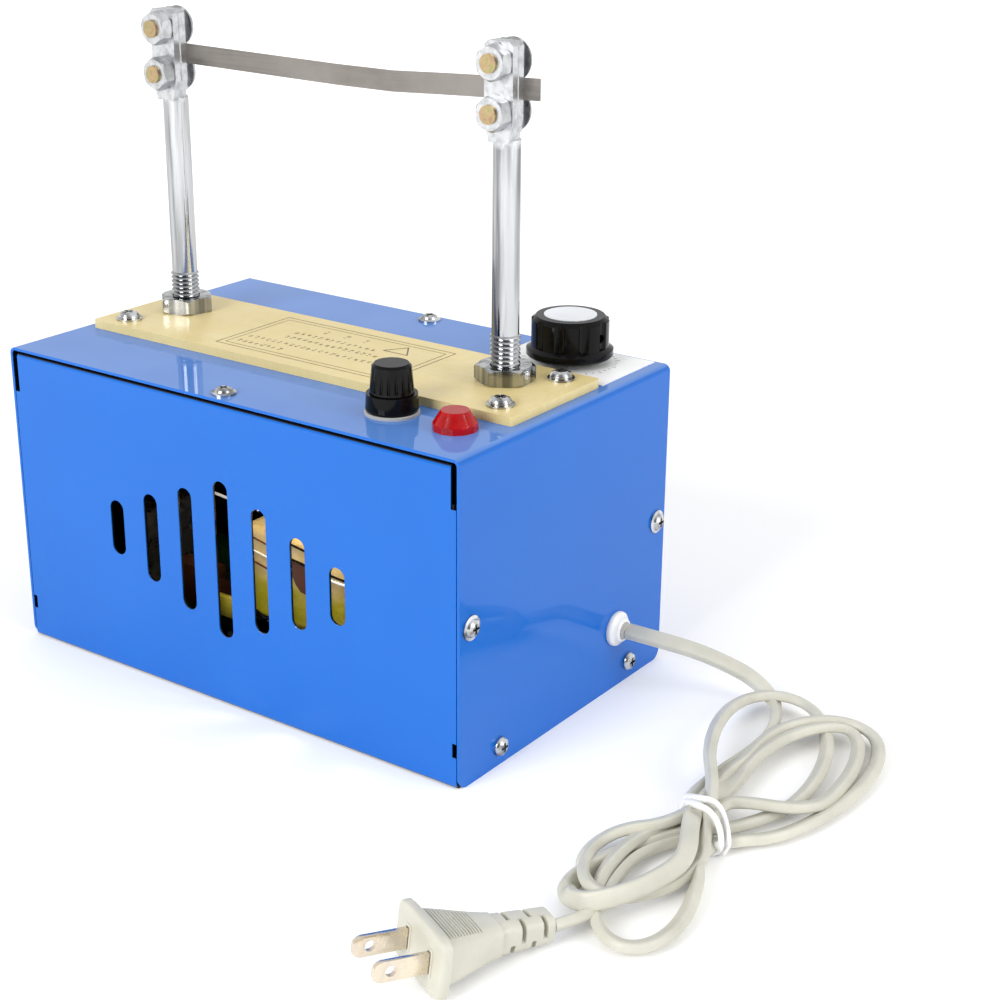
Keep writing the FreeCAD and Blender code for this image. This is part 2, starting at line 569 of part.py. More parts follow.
# ---------------------------------------------------------------- heat control
def make_knob():
    """Fluted knob on the potentiometer's shaft, with its silver disc and set screw."""
    at = ["$knob_x", "$knob_y", "0"]
    blank = turned("KnobBlank", [("$shaft_radius", "$knob_low + 4"), ("9", "$knob_low + 4"), ("9", "$knob_low"),
                                 ("$skirt_radius - 0.6", "$knob_low"), ("$skirt_radius", "$knob_low + 0.6"),
                                 ("$skirt_radius", "$knob_low + $skirt_height"),
                                 ("$knob_radius", "$knob_low + $skirt_height + 1"),
                                 ("$knob_radius", "$knob_top - 1.4"), ("$knob_radius - 1.6", "$knob_top"),
                                 ("$disc_radius", "$knob_top"), ("$disc_radius", "$knob_top - $disc_thick"),
                                 ("$shaft_radius", "$knob_top - $disc_thick")], at)
    flutes = []
    for index in range(10):
        angle = math.radians(36 * index)
        reach = "($knob_radius + $flute_radius * 0.62)"
        spot = [f"$knob_x + {reach} * {math.cos(angle):.5f}", f"$knob_y + {reach} * {math.sin(angle):.5f}",
                "$knob_low + $skirt_height + 1"]
        flutes.append(cylinder(f"Flute{index}", "$flute_radius", "$knob_top - $knob_low", spot))
    screw_at = ["$knob_x + $shaft_radius", "$knob_y", "$knob_low + 7.5"]
    screw_hole = cylinder("SetScrewHole", "1.5", "14", screw_at, "X")
    keep(cut("Knob", blank, flutes + [screw_hole]), "control_knob")
    disc_at = ["$knob_x", "$knob_y", "$knob_top - $disc_thick"]
    keep(cylinder("KnobDisc", "$disc_radius", "$disc_thick + 0.25", disc_at), "knob_disc")
    keep(cylinder("SetScrew", "1.5", "5", screw_at, "X"), "knob_set_screw")
    shaft = turned("Shaft", [("0", "$box_height - $steel - 6"), ("$shaft_radius", "$box_height - $steel - 6"),
                             ("$shaft_radius", "$knob_top - $disc_thick"), ("0", "$knob_top - $disc_thick")], at)
    keep(shaft, "potentiometer_shaft")


def make_potentiometer():
    """Body with threaded bush under the sheet, nut above it, and the printed dial label."""
    at = ["$knob_x", "$knob_y", "0"]
    seat = "$box_height - $steel"
    pot = turned("PotBody", [("0", f"{seat} - $pot_depth"), ("$pot_radius", f"{seat} - $pot_depth"),
                             ("$pot_radius", seat), ("$bush_radius", seat), ("$bush_radius", "$box_height + 3.5"),
                             ("$shaft_radius + 0.06", "$box_height + 3.5"),
                             ("$shaft_radius + 0.06", f"{seat} - 6.2"), ("0", f"{seat} - 6.2")], at)
    lugs = [block(f"PotLug{i}", ["2.2", "6", "0.8"], [f"$knob_x + {5 * (i - 1)}", "$knob_y + $pot_radius + 2.6",
                                                    f"{seat} - $pot_depth + 2"]) for i in range(3)]
    keep(fuse("Potentiometer", [pot] + lugs), "potentiometer")
    nut = hex_nut("PotNut", "$pot_nut_flats", "2", "$bush_radius",
                  ["$knob_x", "$knob_y", "$box_height + $label_thick"])
    keep(nut, "potentiometer_nut")
    label = body("DialLabel")
    sk = sketch(label, "LabelOutline", "XY_Plane", "$box_height")
    rectangle(sk, "$knob_x - $label_length/2", "$knob_y + 16.4 - $label_width", "$knob_x + $label_length/2",
              "$knob_y + 16.4")
    pad(label, sk, "$label_thick")
    hole = sketch(label, "LabelHole", "XY_Plane", "$box_height")
    circle(hole, "$knob_x", "$knob_y", "$bush_radius + 0.1")
    pocket(label, hole)
    keep(label, "dial_label")


# ---------------------------------------------------------------- fuse and lamp
def make_fuse():
    """Panel fuse holder: body, sealing washer, nut, and the cap that carries the glass fuse."""
    at = ["$fuse_x", "$fuse_y", "0"]
    top, under = "$box_height", "$box_height - $steel"
    seat = f"{top} + 1"
    bore = "$fuse_radius - 2.2"
    holder = turned("HolderBody", [("0", f"{under} - 30"), ("$fuse_radius - 1.4", f"{under} - 30"),
                                   ("$fuse_radius - 1.4", f"{under} - 20"), ("$fuse_radius", f"{under} - 19"),
                                   ("$fuse_radius", seat), ("$fuse_flange - 0.4", seat),
                                   ("$fuse_flange", f"{seat} + 0.8"),
                                   ("$fuse_flange - 0.3", f"{seat} + $fuse_flange_height"),
                                   (bore, f"{seat} + $fuse_flange_height"), (bore, f"{under} - 28"),
                                   ("0", f"{under} - 28")], at)
    tail = block("HolderTag", ["5", "0.8", "8"], ["$fuse_x", "$fuse_y", f"{under} - 38"])
    side_tag = block("HolderSideTag", ["0.8", "5", "9"], ["$fuse_x + $fuse_radius - 0.2", "$fuse_y", f"{under} - 24"])
    keep(fuse("FuseHolder", [holder, tail, side_tag]), "fuse_holder")
    washer = turned("FuseWasher", [("$fuse_radius", top), ("$fuse_flange + 0.3", top),
                                   ("$fuse_flange + 0.3", f"{top} + 0.8"), ("$fuse_flange", seat),
                                   ("$fuse_radius", seat)], at)
    keep(washer, "fuse_washer")
    nut_at = ["$fuse_x", "$fuse_y", f"{under} - 3"]
    keep(hex_nut("FuseNut", "16", "3", "$fuse_radius", nut_at), "fuse_holder_nut")
    low = f"{seat} + $fuse_flange_height + 0.3"
    cap = turned("FuseCapBody", [("0", f"{low} - 5"), (f"{bore} - 0.3", f"{low} - 5"), (f"{bore} - 0.3", low),
                                 ("$fuse_cap_low", low), ("$fuse_cap_high", f"{low} + $fuse_cap_height - 0.8"),
                                 ("$fuse_cap_high - 0.8", f"{low} + $fuse_cap_height"),
                                 ("0", f"{low} + $fuse_cap_height")], at)
    ribs = []
    for index in range(18):
        angle = math.radians(20 * index)
        reach = "($fuse_cap_low + $fuse_cap_high) / 2 + 0.28"
        spot = [f"$fuse_x + ({reach}) * {math.cos(angle):.5f}", f"$fuse_y + ({reach}) * {math.sin(angle):.5f}",
                f"{low} + 0.8"]
        ribs.append(cylinder(f"CapGroove{index}", "0.55", "$fuse_cap_height - 2.2", spot))
    keep(cut("FuseCap", cap, ribs), "fuse_cap")
    glass_top = f"{low} - 5"
    glass_low = f"{glass_top} - 20"
    tube = cylinder("FuseGlass", "2.3", "14", ["$fuse_x", "$fuse_y", f"{glass_low} + 3"])
    keep(tube, "fuse_glass")
    ends = [cylinder("FuseEndLow", "2.6", "3", ["$fuse_x", "$fuse_y", glass_low]),
            cylinder("FuseEndHigh", "2.6", "3", ["$fuse_x", "$fuse_y", f"{glass_top} - 3"])]
    keep(group("FuseEnds", ends), "fuse_end_caps")


def make_lamp():
    """Neon lamp: faceted red lens above the sheet, body and nut below."""
    facets = doc.addObject("Part::Prism", "LensFacets")
    facets.Polygon = 12
    bind(facets, "Circumradius", "$lamp_radius")
    bind(facets, "Height", "$lamp_height")
    place(facets, ["$lamp_x", "$lamp_y", "$box_height"])
    rim = turned("LensRim", [("0", "$box_height"), ("$lamp_radius", "$box_height"),
                             ("$lamp_radius", "$box_height + $lamp_height * 0.3"),
                             ("$lamp_radius * 0.62", "$box_height + $lamp_height"),
                             ("0", "$box_height + $lamp_height")], ["$lamp_x", "$lamp_y", "0"])
    keep(common("Lens", [facets, rim]), "indicator_lens")
    under = "$box_height - $steel"
    keep(cylinder("LampBody", "$lamp_body", "22 + $steel", ["$lamp_x", "$lamp_y", f"{under} - 22"]),
         "indicator_body")
    keep(hex_nut("LampNut", "14", "2.5", "$lamp_body", ["$lamp_x", "$lamp_y", f"{under} - 2.5"]),
         "indicator_nut")


# ---------------------------------------------------------------- transformer
def make_transformer():
    """EI core with a bobbin, two windings, outer tape and a steel strap."""
    x, y, low = "$core_x", "$core_y", "$core_low"
    core = block("CoreBlank", ["$core_length", "$core_stack", "$core_height"], [x, y, low])
    window_height = "$core_height - 2 * $limb"
    window_length = "($core_length - 4 * $limb) / 2"
    windows = [block(f"Window{tag}", [window_length, "$core_stack", window_height],
                     [f"{x} + {sign} * ($limb + ({window_length})/2)", y, f"{low} + $limb"])
               for tag, sign in (("Left", -1), ("Right", 1))]
    keep(cut("Core", core, windows), "transformer_core")
    inner = ["2 * $limb", "$core_stack"]
    wall, floor = "$coil_wall", f"{low} + $limb"
    tube = block("BobbinTube", [f"{inner[0]} + 2*{wall}", f"{inner[1]} + 2*{wall}", window_height], [x, y, floor])
    spread = f"2 * ({window_length}) - 1"
    ends = [block(f"BobbinFlange{tag}", [f"{inner[0]} + {spread}", f"{inner[1]} + {spread}", wall], [x, y, z])
            for tag, z in (("Low", floor), ("High", f"{floor} + {window_height} - {wall}"))]
    limb = block("BobbinHole", inner + [window_height], [x, y, floor])
    keep(cut("Bobbin", fuse("BobbinBlank", [tube] + ends), limb), "transformer_bobbin")
    split = f"{floor} + ({window_height}) * 0.55"

    def winding(name, label, reach_in, reach_out, z_low, z_high):
        height = f"({z_high}) - ({z_low})"
        outer = block(name + "Outer", [f"{inner[0]} + 2*({reach_out})", f"{inner[1]} + 2*({reach_out})", height],
                      [x, y, z_low])
        core_hole = block(name + "Inner", [f"{inner[0]} + 2*({reach_in})", f"{inner[1]} + 2*({reach_in})", height],
                          [x, y, z_low])
        keep(cut(name, outer, core_hole), label)

    full = f"({window_length}) - 2"
    winding("Primary", "transformer_primary", wall, full, f"{floor} + {wall}", f"{split} - 0.6")
    winding("Secondary", "transformer_secondary", wall, full, f"{split} + 0.6",
            f"{floor} + {window_height} - {wall}")
    winding("Tape", "transformer_tape", f"{full}", f"{full} + 0.6", f"{floor} + {wall}", f"{split} - 0.6")
    strap_low = "$steel"
    side = "$core_length/2"
    strap = body("Strap")
    sk = sketch(strap, "StrapOutline", "XZ_Plane")
    top = f"{low} + $core_height"
    polygon(sk, [(f"-{side} - 14", strap_low), (f"-{side} - 14", f"{strap_low} + 1.5"),
                 (f"-{side} - 1.5", f"{strap_low} + 1.5"), (f"-{side} - 1.5", f"{top} + 1.5"),
                 (f"{side} + 1.5", f"{top} + 1.5"), (f"{side} + 1.5", f"{strap_low} + 1.5"),
                 (f"{side} + 14", f"{strap_low} + 1.5"), (f"{side} + 14", strap_low),
                 (side, strap_low), (side, top), (f"-{side}", top), (f"-{side}", strap_low)])
    pad(strap, sk, "24", middle=True)
    place(strap, [x, y, "0"])
    keep(strap, "transformer_strap")
    packers = [block(f"Packer{tag}", ["20", "30", "$core_low - $steel"], [f"{x} + {dx}", y, "$steel"])
               for tag, dx in (("Left", -28), ("Right", 28))]
    keep(group("CorePackers", packers), "transformer_packers")
    screws = []
    for tag, sign in (("Left", "-"), ("Right", "")):
        at = [f"{x} + {sign}($core_length/2 + 8)", y, "$steel + 1.5"]
        screws.append(cylinder(f"StrapScrew{tag}", "3.2", "2.4", at))
    keep(group("StrapScrews", screws), "transformer_screws")


# ---------------------------------------------------------------- control board
def make_dimmer():
    """Phase-angle control board with its triac, heatsink, capacitors and choke."""
    x, y, z = "$dimmer_x", "$dimmer_y", "$dimmer_z"
    board = block("DimmerBoard", ["$dimmer_length", "$dimmer_width", "1.6"], [x, y, z])
    keep(board, "dimmer_board")
    posts = []
    for tag_x, sx in (("Left", -1), ("Right", 1)):
        for tag_y, sy in (("Front", -1), ("Back", 1)):
            at = [f"{x} + {sx} * ($dimmer_length/2 - 4)", f"{y} + {sy} * ($dimmer_width/2 - 4)", "$steel"]
            posts.append(cylinder(f"Standoff{tag_x}{tag_y}", "2.8", f"{z} - $steel", at))
    keep(group("Standoffs", posts), "dimmer_standoffs")
    top = f"{z} + 1.6"
    plate = block("SinkPlate", ["2", "30", "30"], [f"{x} - 20", y, top])
    fins = [block(f"SinkFin{i}", ["8", "1.4", "30"], [f"{x} - 25", f"{y} + {6.8 * (i - 2)}", top])
            for i in range(5)]
    keep(fuse("Heatsink", [plate] + fins), "triac_heatsink")
    triac = block("TriacBody", ["4.4", "10", "9"], [f"{x} - 16.8", y, f"{top} + 10"])
    tab = block("TriacTab", ["1.2", "10", "15.5"], [f"{x} - 18.4", y, f"{top} + 10"])
    legs = [block(f"TriacLeg{i}", ["0.6", "0.9", "10"], [f"{x} - 16.8", f"{y} + {2.5 * (i - 1)}", top])
            for i in range(3)]
    keep(fuse("Triac", [triac, tab] + legs), "triac")
    caps = [block("FilmCapacitor", ["18", "8", "15"], [f"{x} + 4", f"{y} - 12", top]),
            block("TimingCapacitor", ["12", "6", "11"], [f"{x} + 20", f"{y} - 14", top])]
    keep(group("Capacitors", caps), "dimmer_capacitors")
    ring = doc.addObject("Part::Torus", "ChokeRing")
    bind(ring, "Radius1", "9")
    bind(ring, "Radius2", "4")
    place(ring, [f"{x} + 17.5", f"{y} + 9", f"{top} + 4"])
    keep(ring, "dimmer_choke")
    stack = block("TerminalBlock", ["20", "9", "10"], [f"{x} - 7", f"{y} + 17", top])
    keep(stack, "dimmer_terminals")


# ---------------------------------------------------------------- wires and cords
def rounded_path(points):
    """Straight runs joined by tangent arcs whose radius is 0.45 of the shorter run over tan(turn / 2)."""
    edges, radii = [], []
    start = points[0]
    for before, corner, after in zip(points, points[1:], points[2:]):
        came, goes = (corner - before), (after - corner)
        turn = came.getAngle(goes)
        setback = 0.45 * min(came.Length, goes.Length)
        radii.append(setback / math.tan(turn / 2))
        first = corner - came.normalize() * setback
        last = corner + goes.normalize() * setback
        bisector = (goes - came).normalize()
        centre = corner + bisector * (radii[-1] / math.cos(turn / 2))
        middle = centre - bisector * radii[-1]
        edges.append(Part.LineSegment(start, first).toShape())
        edges.append(Part.Arc(first, middle, last).toShape())
        start = last
    edges.append(Part.LineSegment(start, points[-1]).toShape())
    return Part.Wire(edges), radii


def tube(points, radius):
    """A round tube along the rounded path; its volume has to be section times length."""
    path, radii = rounded_path([V(*p) for p in points])
    section = Part.Wire(Part.makeCircle(radius, path.Edges[0].Vertexes[0].Point,
                                        path.Edges[0].tangentAt(path.Edges[0].FirstParameter)))
    solid = path.makePipeShell([section], True, True, 2)
    expected = math.pi * radius ** 2 * path.Length
    if not near(solid.Volume / expected, 1, 0.01):
        raise RuntimeError(f"tube volume {solid.Volume:.1f}, expected {expected:.1f}")
    return solid, radii, path.Length


def loose(name, label, shape):
    obj = doc.addObject("Part::Feature", name)
    obj.Shape = shape
    obj.Placement = FreeCAD.Placement()
    return keep(obj, label)


# The cord leaves the grommet, drops to the bench, runs round into the hank and out to the plug.
LEAD_ROUTE = [(102.5, 30.0, 22.6), (112.0, 30.0, 22.6), (122.0, 33.4, 18.8), (129.5, 40.4, 11.0),
              (136.0, 48.2, 5.2), (143.0, 52.6, 3.0)]
TAIL_ROUTE = [(171.9, -95.4, 3.1), (171.4, -100.5, 3.9), (169.64, -106.03, 4.89), (166.95, -111.36, 5.47)]
RIGHT_LOBE = [(164, -27), (158, -22), (146, 8), (139, 27), (138.5, 40), (142.5, 50), (149, 55.5),
              (162, 54.5), (176, 52), (189, 44), (199, 32), (203, 14), (201.5, -6), (196, -22), (190, -35),
              (184.5, -40), (178, -34)]
LEFT_LOBE = [(160, -34), (155, -42), (149, -60), (149, -76), (152.5, -86), (157, -94.5), (167, -97),
             (172, -103), (180, -107), (188, -107), (194.5, -102), (197, -94), (194, -82), (188, -62),
             (187, -48), (183, -46), (168, -38)]
WAIST_ANGLE = 62.2
MAINS_ROUTES = {
    "Fuse": [(70.5, 30.8, 23.6), (64.5, 33.0, 25.4), (62, 36, 33), (66, 37.4, 47), (70.5, 33, 61), (72, 22, 74),
             (69, 5, 82), (62, -13, 82.5), (55.5, -27, 78), (54, -36.4, 73.5)],
    "Lamp": [(70.5, 29.2, 21.8), (66, 30, 20), (66.5, 32.6, 14), (76, 30, 9.5), (88, 22, 16), (90.5, 4, 32),
             (90, -16, 50), (86, -30, 66), (79.3, -36.8, 77), (79, -37.4, 86.9)],
    "Dimmer": [(70.5, 31.8, 21.4), (62, 35, 19), (44, 41, 12), (14, 43, 8.5), (-16, 42, 8.5), (-40, 34, 11),
               (-57, 24, 14.5), (-61.5, 13.6, 17)],
}
SECONDARY_ROUTES = {
    "Left": [(-75, 20.6, 104.8), (-75, 20.6, 95), (-67, 27, 82), (-46, 36, 70), (-18, 40, 60), (4, 40, 54),
             (16, 36.4, 50.5), (16, 29.1, 50.5)],
    "Right": [(68, 20.6, 104.8), (68, 20.6, 95), (64, 28, 82), (58, 35, 70), (51, 39, 59), (43.6, 36.6, 50.5),
              (43.6, 29.1, 50.5)],
}


def turned_box(size, centre, angle, low):
    """A box of length, width and height, turned about its own upright axis."""
    length, width, height = size
    box = Part.makeBox(length, width, height, V(-length / 2, -width / 2, low))
    box.Placement = FreeCAD.Placement(V(centre[0], centre[1], 0), FreeCAD.Rotation(V(0, 0, 1), angle))
    return box


def make_grommet():
    """Bush in the right side, the clamp behind it and the length of cord between them."""
    half = "$box_length/2"
    at = [half, "$grommet_y", "$grommet_z"]
    bore = "$cord_width/2 + 0.1"
    neck = "$grommet_radius - 1.7"
    keep(turned("Grommet", [(bore, "-4.5"), ("$grommet_radius - 1", "-4.5"),
                            ("$grommet_radius - 1", "-$steel - 1"), (neck, "-$steel"), (neck, "0"),
                            ("$grommet_radius", "0"), ("$grommet_radius", "1.6"),
                            ("$grommet_radius - 1.1", "2.4"), (f"{bore} + 1", "$grommet_proud"),
                            (bore, "$grommet_proud")], at, "X"), "cord_grommet")
    clamp = block("ClampBody", ["9", "14", "12"], [f"{half} - 16", "$grommet_y", "$grommet_z - 6"])
    hole = cylinder("ClampHole", "$cord_width/2", "9", [f"{half} - 20.5", "$grommet_y", "$grommet_z"], "X")
    keep(cut("CordClamp", clamp, hole), "cord_clamp")
    inside = cylinder("CordInside", "$cord_width/2", "27 + $grommet_proud",
                      [f"{half} - 27", "$grommet_y", "$grommet_z"], "X")
    keep(inside, "cord_inside")


def make_cord():
    """The free lead, the tied hank, its wire tie and the tail to the plug."""
    radius = value("$cord_width") / 2
    tubes = []
    for name, label, route in (("CordLead", "cord_lead", LEAD_ROUTE), ("CordTail", "cord_tail", TAIL_ROUTE)):
        solid, radii, length = tube(route, radius)
        print(label, "length", round(length, 1), "radii", [round(r, 1) for r in radii])
        loose(name, label, solid)
        tubes.append(solid)
    lobes = []
    for outline in (RIGHT_LOBE, LEFT_LOBE):
        edge = Part.makePolygon([V(x, y, 0) for x, y in outline + outline[:1]])
        lobes.append(Part.Face(edge).extrude(V(0, 0, value("$hank_height"))))
    centre = (value("$waist_x"), value("$waist_y"))
    across, tall, thick = value("$waist_width"), value("$waist_height"), value("$tie_thick")
    waist = turned_box((value("$waist_length") + 2, across, tall), centre, WAIST_ANGLE, thick)
    hank = lobes[0].fuse([lobes[1], waist]).removeSplitter()
    outer = turned_box((value("$tie_width"), across + 2 * thick, tall + 2 * thick), centre, WAIST_ANGLE, 0)
    clearing = turned_box((value("$tie_width") + 1, across + 6, tall + 6), centre, WAIST_ANGLE, 0)
    hank = hank.cut(clearing).fuse(waist).removeSplitter().cut(tubes)
    loose("CordHank", "cord_hank", hank)
    loose("TwistTie", "twist_tie", outer.cut(waist))


def make_inner_leads():
    """Mains wires to the fuse, the lamp and the control board, and the two heavy secondary leads."""
    for name, label, routes, radius in (("MainsLeads", "mains_leads", MAINS_ROUTES, 1.1),
                                        ("SecondaryLeads", "secondary_leads", SECONDARY_ROUTES, 2.4)):
        loose(name, label, Part.makeCompound([tube(route, radius)[0] for route in routes.values()]))


def plug_frame():
    """The plug's own frame: its X runs from the cord to the pins' tips, from the face of its plate."""
    base = V(value("$plug_x"), value("$plug_y"), value("$plug_z"))
    return FreeCAD.Placement(base, FreeCAD.Rotation(value("$plug_heading"), value("$plug_pitch"), 0))


def octagon(sk, half_width, half_height, bevel):
    """A rectangle with its corners cut off."""
    w, t, b = f"({half_width})", f"({half_height})", f"({bevel})"
    polygon(sk, [(f"-{w}", f"-{t} + {b}"), (f"-{w} + {b}", f"-{t}"), (f"{w} - {b}", f"-{t}"),
                 (w, f"-{t} + {b}"), (w, f"{t} - {b}"), (f"{w} - {b}", t), (f"-{w} + {b}", t),
                 (f"-{w}", f"{t} - {b}")])


def make_plug():
    """Moulded two-pin plug with a ribbed grip and a slotted strain relief, lying on its face plate."""
    frame = plug_frame()
    plug = body("PlugBody")
    plate = sketch(plug, "PlugPlate", "YZ_Plane", "-$plug_plate")
    octagon(plate, "$plug_width/2", "$plug_height/2", "3.5")
    pad(plug, plate, "$plug_plate")
    back = "$plug_plate + $grip_length"
    front_face = sketch(plug, "GripFront", "YZ_Plane", "-$plug_plate")
    octagon(front_face, "10.4", "7.4", "2.6")
    back_face = sketch(plug, "GripBack", "YZ_Plane", f"-({back})")
    octagon(back_face, "6.2", "5.2", "2.4")
    grip = plug.newObject("PartDesign::AdditiveLoft", "Grip")
    grip.Profile = front_face
    grip.Sections = [back_face]
    grip.Ruled = True
    for index in range(5):
        share = (index + 1) / 6.0
        rib = sketch(plug, f"Rib{index}", "YZ_Plane", f"-($plug_plate + $grip_length * {share:.4f})")
        octagon(rib, f"10.4 - 4.2 * {share:.4f} + 0.7", f"7.4 - 2.2 * {share:.4f} + 0.7", "2.9")
        pad(plug, rib, "1.2")
    plug.Placement = frame
    keep(plug, "plug_body")
    outline = [("0", "0"), ("4.6", "0")]
    for index in range(5):
        low = f"$relief_length * {0.14 + 0.16 * index:.3f}"
        wide = f"{4.6 - 0.2 * index:.2f}"
        outline += [(wide, low), ("2.9", low), ("2.9", f"{low} + 1.1"), (wide, f"{low} + 1.1")]
    outline += [("3.5", "$relief_length"), ("0", "$relief_length")]
    relief = turned("Relief", outline, ["0", "0", "0"])
    for letter in "xyz":
        relief.setExpression(f"Placement.Base.{letter}", None)
    behind = FreeCAD.Placement(V(-value(back), 0, 0), FreeCAD.Rotation(V(0, 1, 0), -90))
    relief.Placement = frame.multiply(behind)
    keep(relief, "plug_relief")
    pins = []
    for tag, side in (("Left", "-"), ("Right", "")):
        pin = body(f"{tag}Pin")
        shape = sketch(pin, f"{tag}PinOutline", "XZ_Plane", f"{side}$pin_pitch/2")
        half = "$pin_width/2"
        polygon(shape, [("0", f"-{half}"), ("$pin_length - 1.6", f"-{half}"), ("$pin_length", f"-{half} + 1.4"),
                        ("$pin_length", f"{half} - 1.4"), ("$pin_length - 1.6", half), ("0", half)])
        pad(pin, shape, "$pin_thick", middle=True)
        hole = sketch(pin, f"{tag}PinHole", "XZ_Plane")
        circle(hole, "$pin_length - 4.4", "0", "1.6")
        pocket(pin, hole)
        pins.append(pin)
    pair = group("PlugPins", pins)
    pair.Placement = frame
    keep(pair, "plug_pins")


def check_and_write():
    """Stop if any object failed or any sub-part isn't a valid solid, then write the STEP files."""
    doc.recompute()
    for obj in doc.Objects:
        if "Invalid" in obj.State or "Error" in obj.State:
            raise RuntimeError(f"{obj.Name} failed: {obj.State}")
    os.makedirs("parts", exist_ok=True)
    for obj in SUBPARTS:
        shape = obj.Shape
        if shape.isNull() or not shape.isValid() or not shape.Solids:
            raise RuntimeError(obj.Label + " has no valid solid")
        shape.exportStep(f"parts/{obj.Label}.step")
    print(len(SUBPARTS), "sub-parts written")


make_top_cover()
make_base_tray()
make_case_screws()
make_blade_board()
make_post("left_post", "$left_x", "0")
make_post("right_post", "$right_x", "$right_lift")
make_post_fasteners()
make_clamps()
make_blade()
make_knob()
make_potentiometer()
make_fuse()
make_lamp()
make_transformer()
make_dimmer()
make_grommet()
make_cord()
make_inner_leads()
make_plug()
check_and_write()
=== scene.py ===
"""Hot-blade ribbon cutter: its finishes, cord, plug and printed details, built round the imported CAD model."""
import json
import math
import random

import bmesh
import bpy
from mathutils import Matrix, Vector


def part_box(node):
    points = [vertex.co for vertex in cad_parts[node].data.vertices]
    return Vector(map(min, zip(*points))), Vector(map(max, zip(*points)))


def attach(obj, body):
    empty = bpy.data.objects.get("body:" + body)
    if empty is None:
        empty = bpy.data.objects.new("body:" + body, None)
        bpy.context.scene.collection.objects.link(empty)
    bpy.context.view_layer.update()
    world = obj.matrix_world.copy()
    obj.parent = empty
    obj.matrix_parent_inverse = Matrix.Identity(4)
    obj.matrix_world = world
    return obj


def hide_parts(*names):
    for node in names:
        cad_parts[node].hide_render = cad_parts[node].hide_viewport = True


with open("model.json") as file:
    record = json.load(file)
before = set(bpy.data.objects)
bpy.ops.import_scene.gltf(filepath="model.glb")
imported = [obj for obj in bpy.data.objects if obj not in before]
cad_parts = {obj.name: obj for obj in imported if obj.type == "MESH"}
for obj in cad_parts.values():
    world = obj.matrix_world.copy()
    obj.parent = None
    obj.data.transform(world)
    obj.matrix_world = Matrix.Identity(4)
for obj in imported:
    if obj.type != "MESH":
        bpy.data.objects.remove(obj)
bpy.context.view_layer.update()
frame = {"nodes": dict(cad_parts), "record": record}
NODES = frame["nodes"]
MM = 0.001


# ---------------------------------------------------------------- camera, floor and light

def make_camera():
    """A 68 mm lens looking down at the object's front right corner."""
    data = bpy.data.cameras.new("camera")
    data.sensor_width = 36.0
    data.lens = 68.2245
    data.dof.use_dof = False
    camera = bpy.data.objects.new("camera", data)
    azimuth, elevation, roll = (math.radians(a) for a in (35.396, 21.169, 0.475))
    back = Vector((math.sin(azimuth) * math.cos(elevation), -math.cos(azimuth) * math.cos(elevation),
                   math.sin(elevation)))
    level = Vector((math.cos(azimuth), math.sin(azimuth), 0.0))
    right = level * math.cos(roll) + back.cross(level) * math.sin(roll)
    axes = Matrix((right, back.cross(right), back)).transposed()
    camera.matrix_world = Matrix.Translation((0.40854, -0.47718, 0.29942)) @ axes.to_4x4()
    bpy.context.scene.collection.objects.link(camera)
    bpy.context.scene.camera = camera


def area_light(name, place, target, size, power, colour=(1, 1, 1)):
    """A square soft light at a place, looking at a target."""
    data = bpy.data.lights.new(name, "AREA")
    data.shape = "SQUARE"
    data.size = size
    data.energy = power
    data.color = colour
    lamp = bpy.data.objects.new(name, data)
    lamp.location = place
    lamp.rotation_euler = (Vector(target) - Vector(place)).to_track_quat("-Z", "Y").to_euler()
    bpy.context.scene.collection.objects.link(lamp)


def make_floor():
    """A wide plain floor."""
    bm = bmesh.new()
    bmesh.ops.create_grid(bm, x_segments=4, y_segments=4, size=6.0)
    mesh = bpy.data.meshes.new("floor")
    bm.to_mesh(mesh)
    bm.free()
    floor = bpy.data.objects.new("floor", mesh)
    mesh.materials.append(floor_finish())
    bpy.context.scene.collection.objects.link(floor)


def make_world():
    """A pale room with one darker side, so metal and gloss have something to mirror."""
    world = bpy.data.worlds.new("room")
    bpy.context.scene.world = world
    world.use_nodes = True
    tree = world.node_tree
    background = tree.nodes["Background"]
    where = tree.nodes.new("ShaderNodeTexCoord")
    facing = tree.nodes.new("ShaderNodeVectorMath")
    facing.operation = "DOT_PRODUCT"
    facing.inputs[1].default_value = Vector((0.3, -0.93, -0.1)).normalized()
    tree.links.new(where.outputs["Generated"], facing.inputs[0])
    shade = tree.nodes.new("ShaderNodeValToRGB")
    shade.color_ramp.interpolation = "EASE"
    stops = shade.color_ramp.elements
    stops[0].position, stops[0].color = 0.1, (1.0, 1.0, 1.0, 1)
    stops[1].position, stops[1].color = 0.85, (0.16, 0.165, 0.18, 1)
    tree.links.new(facing.outputs["Value"], shade.inputs["Fac"])
    tree.links.new(shade.outputs["Color"], background.inputs["Color"])
    background.inputs["Strength"].default_value = 0.92


# ---------------------------------------------------------------- finishes

# Where the box's sheet turns from its inner to its outer side, as distances from the origin in metres.
INNER_WALLS = (("X", 0.0968), ("Y", 0.0596), ("Z", 0.1091))
# Height above which the posts are forged flat, and y behind which the bolts are grey, in metres.
FORGED_FROM = 0.1885
HEADS_FROM = 0.0015


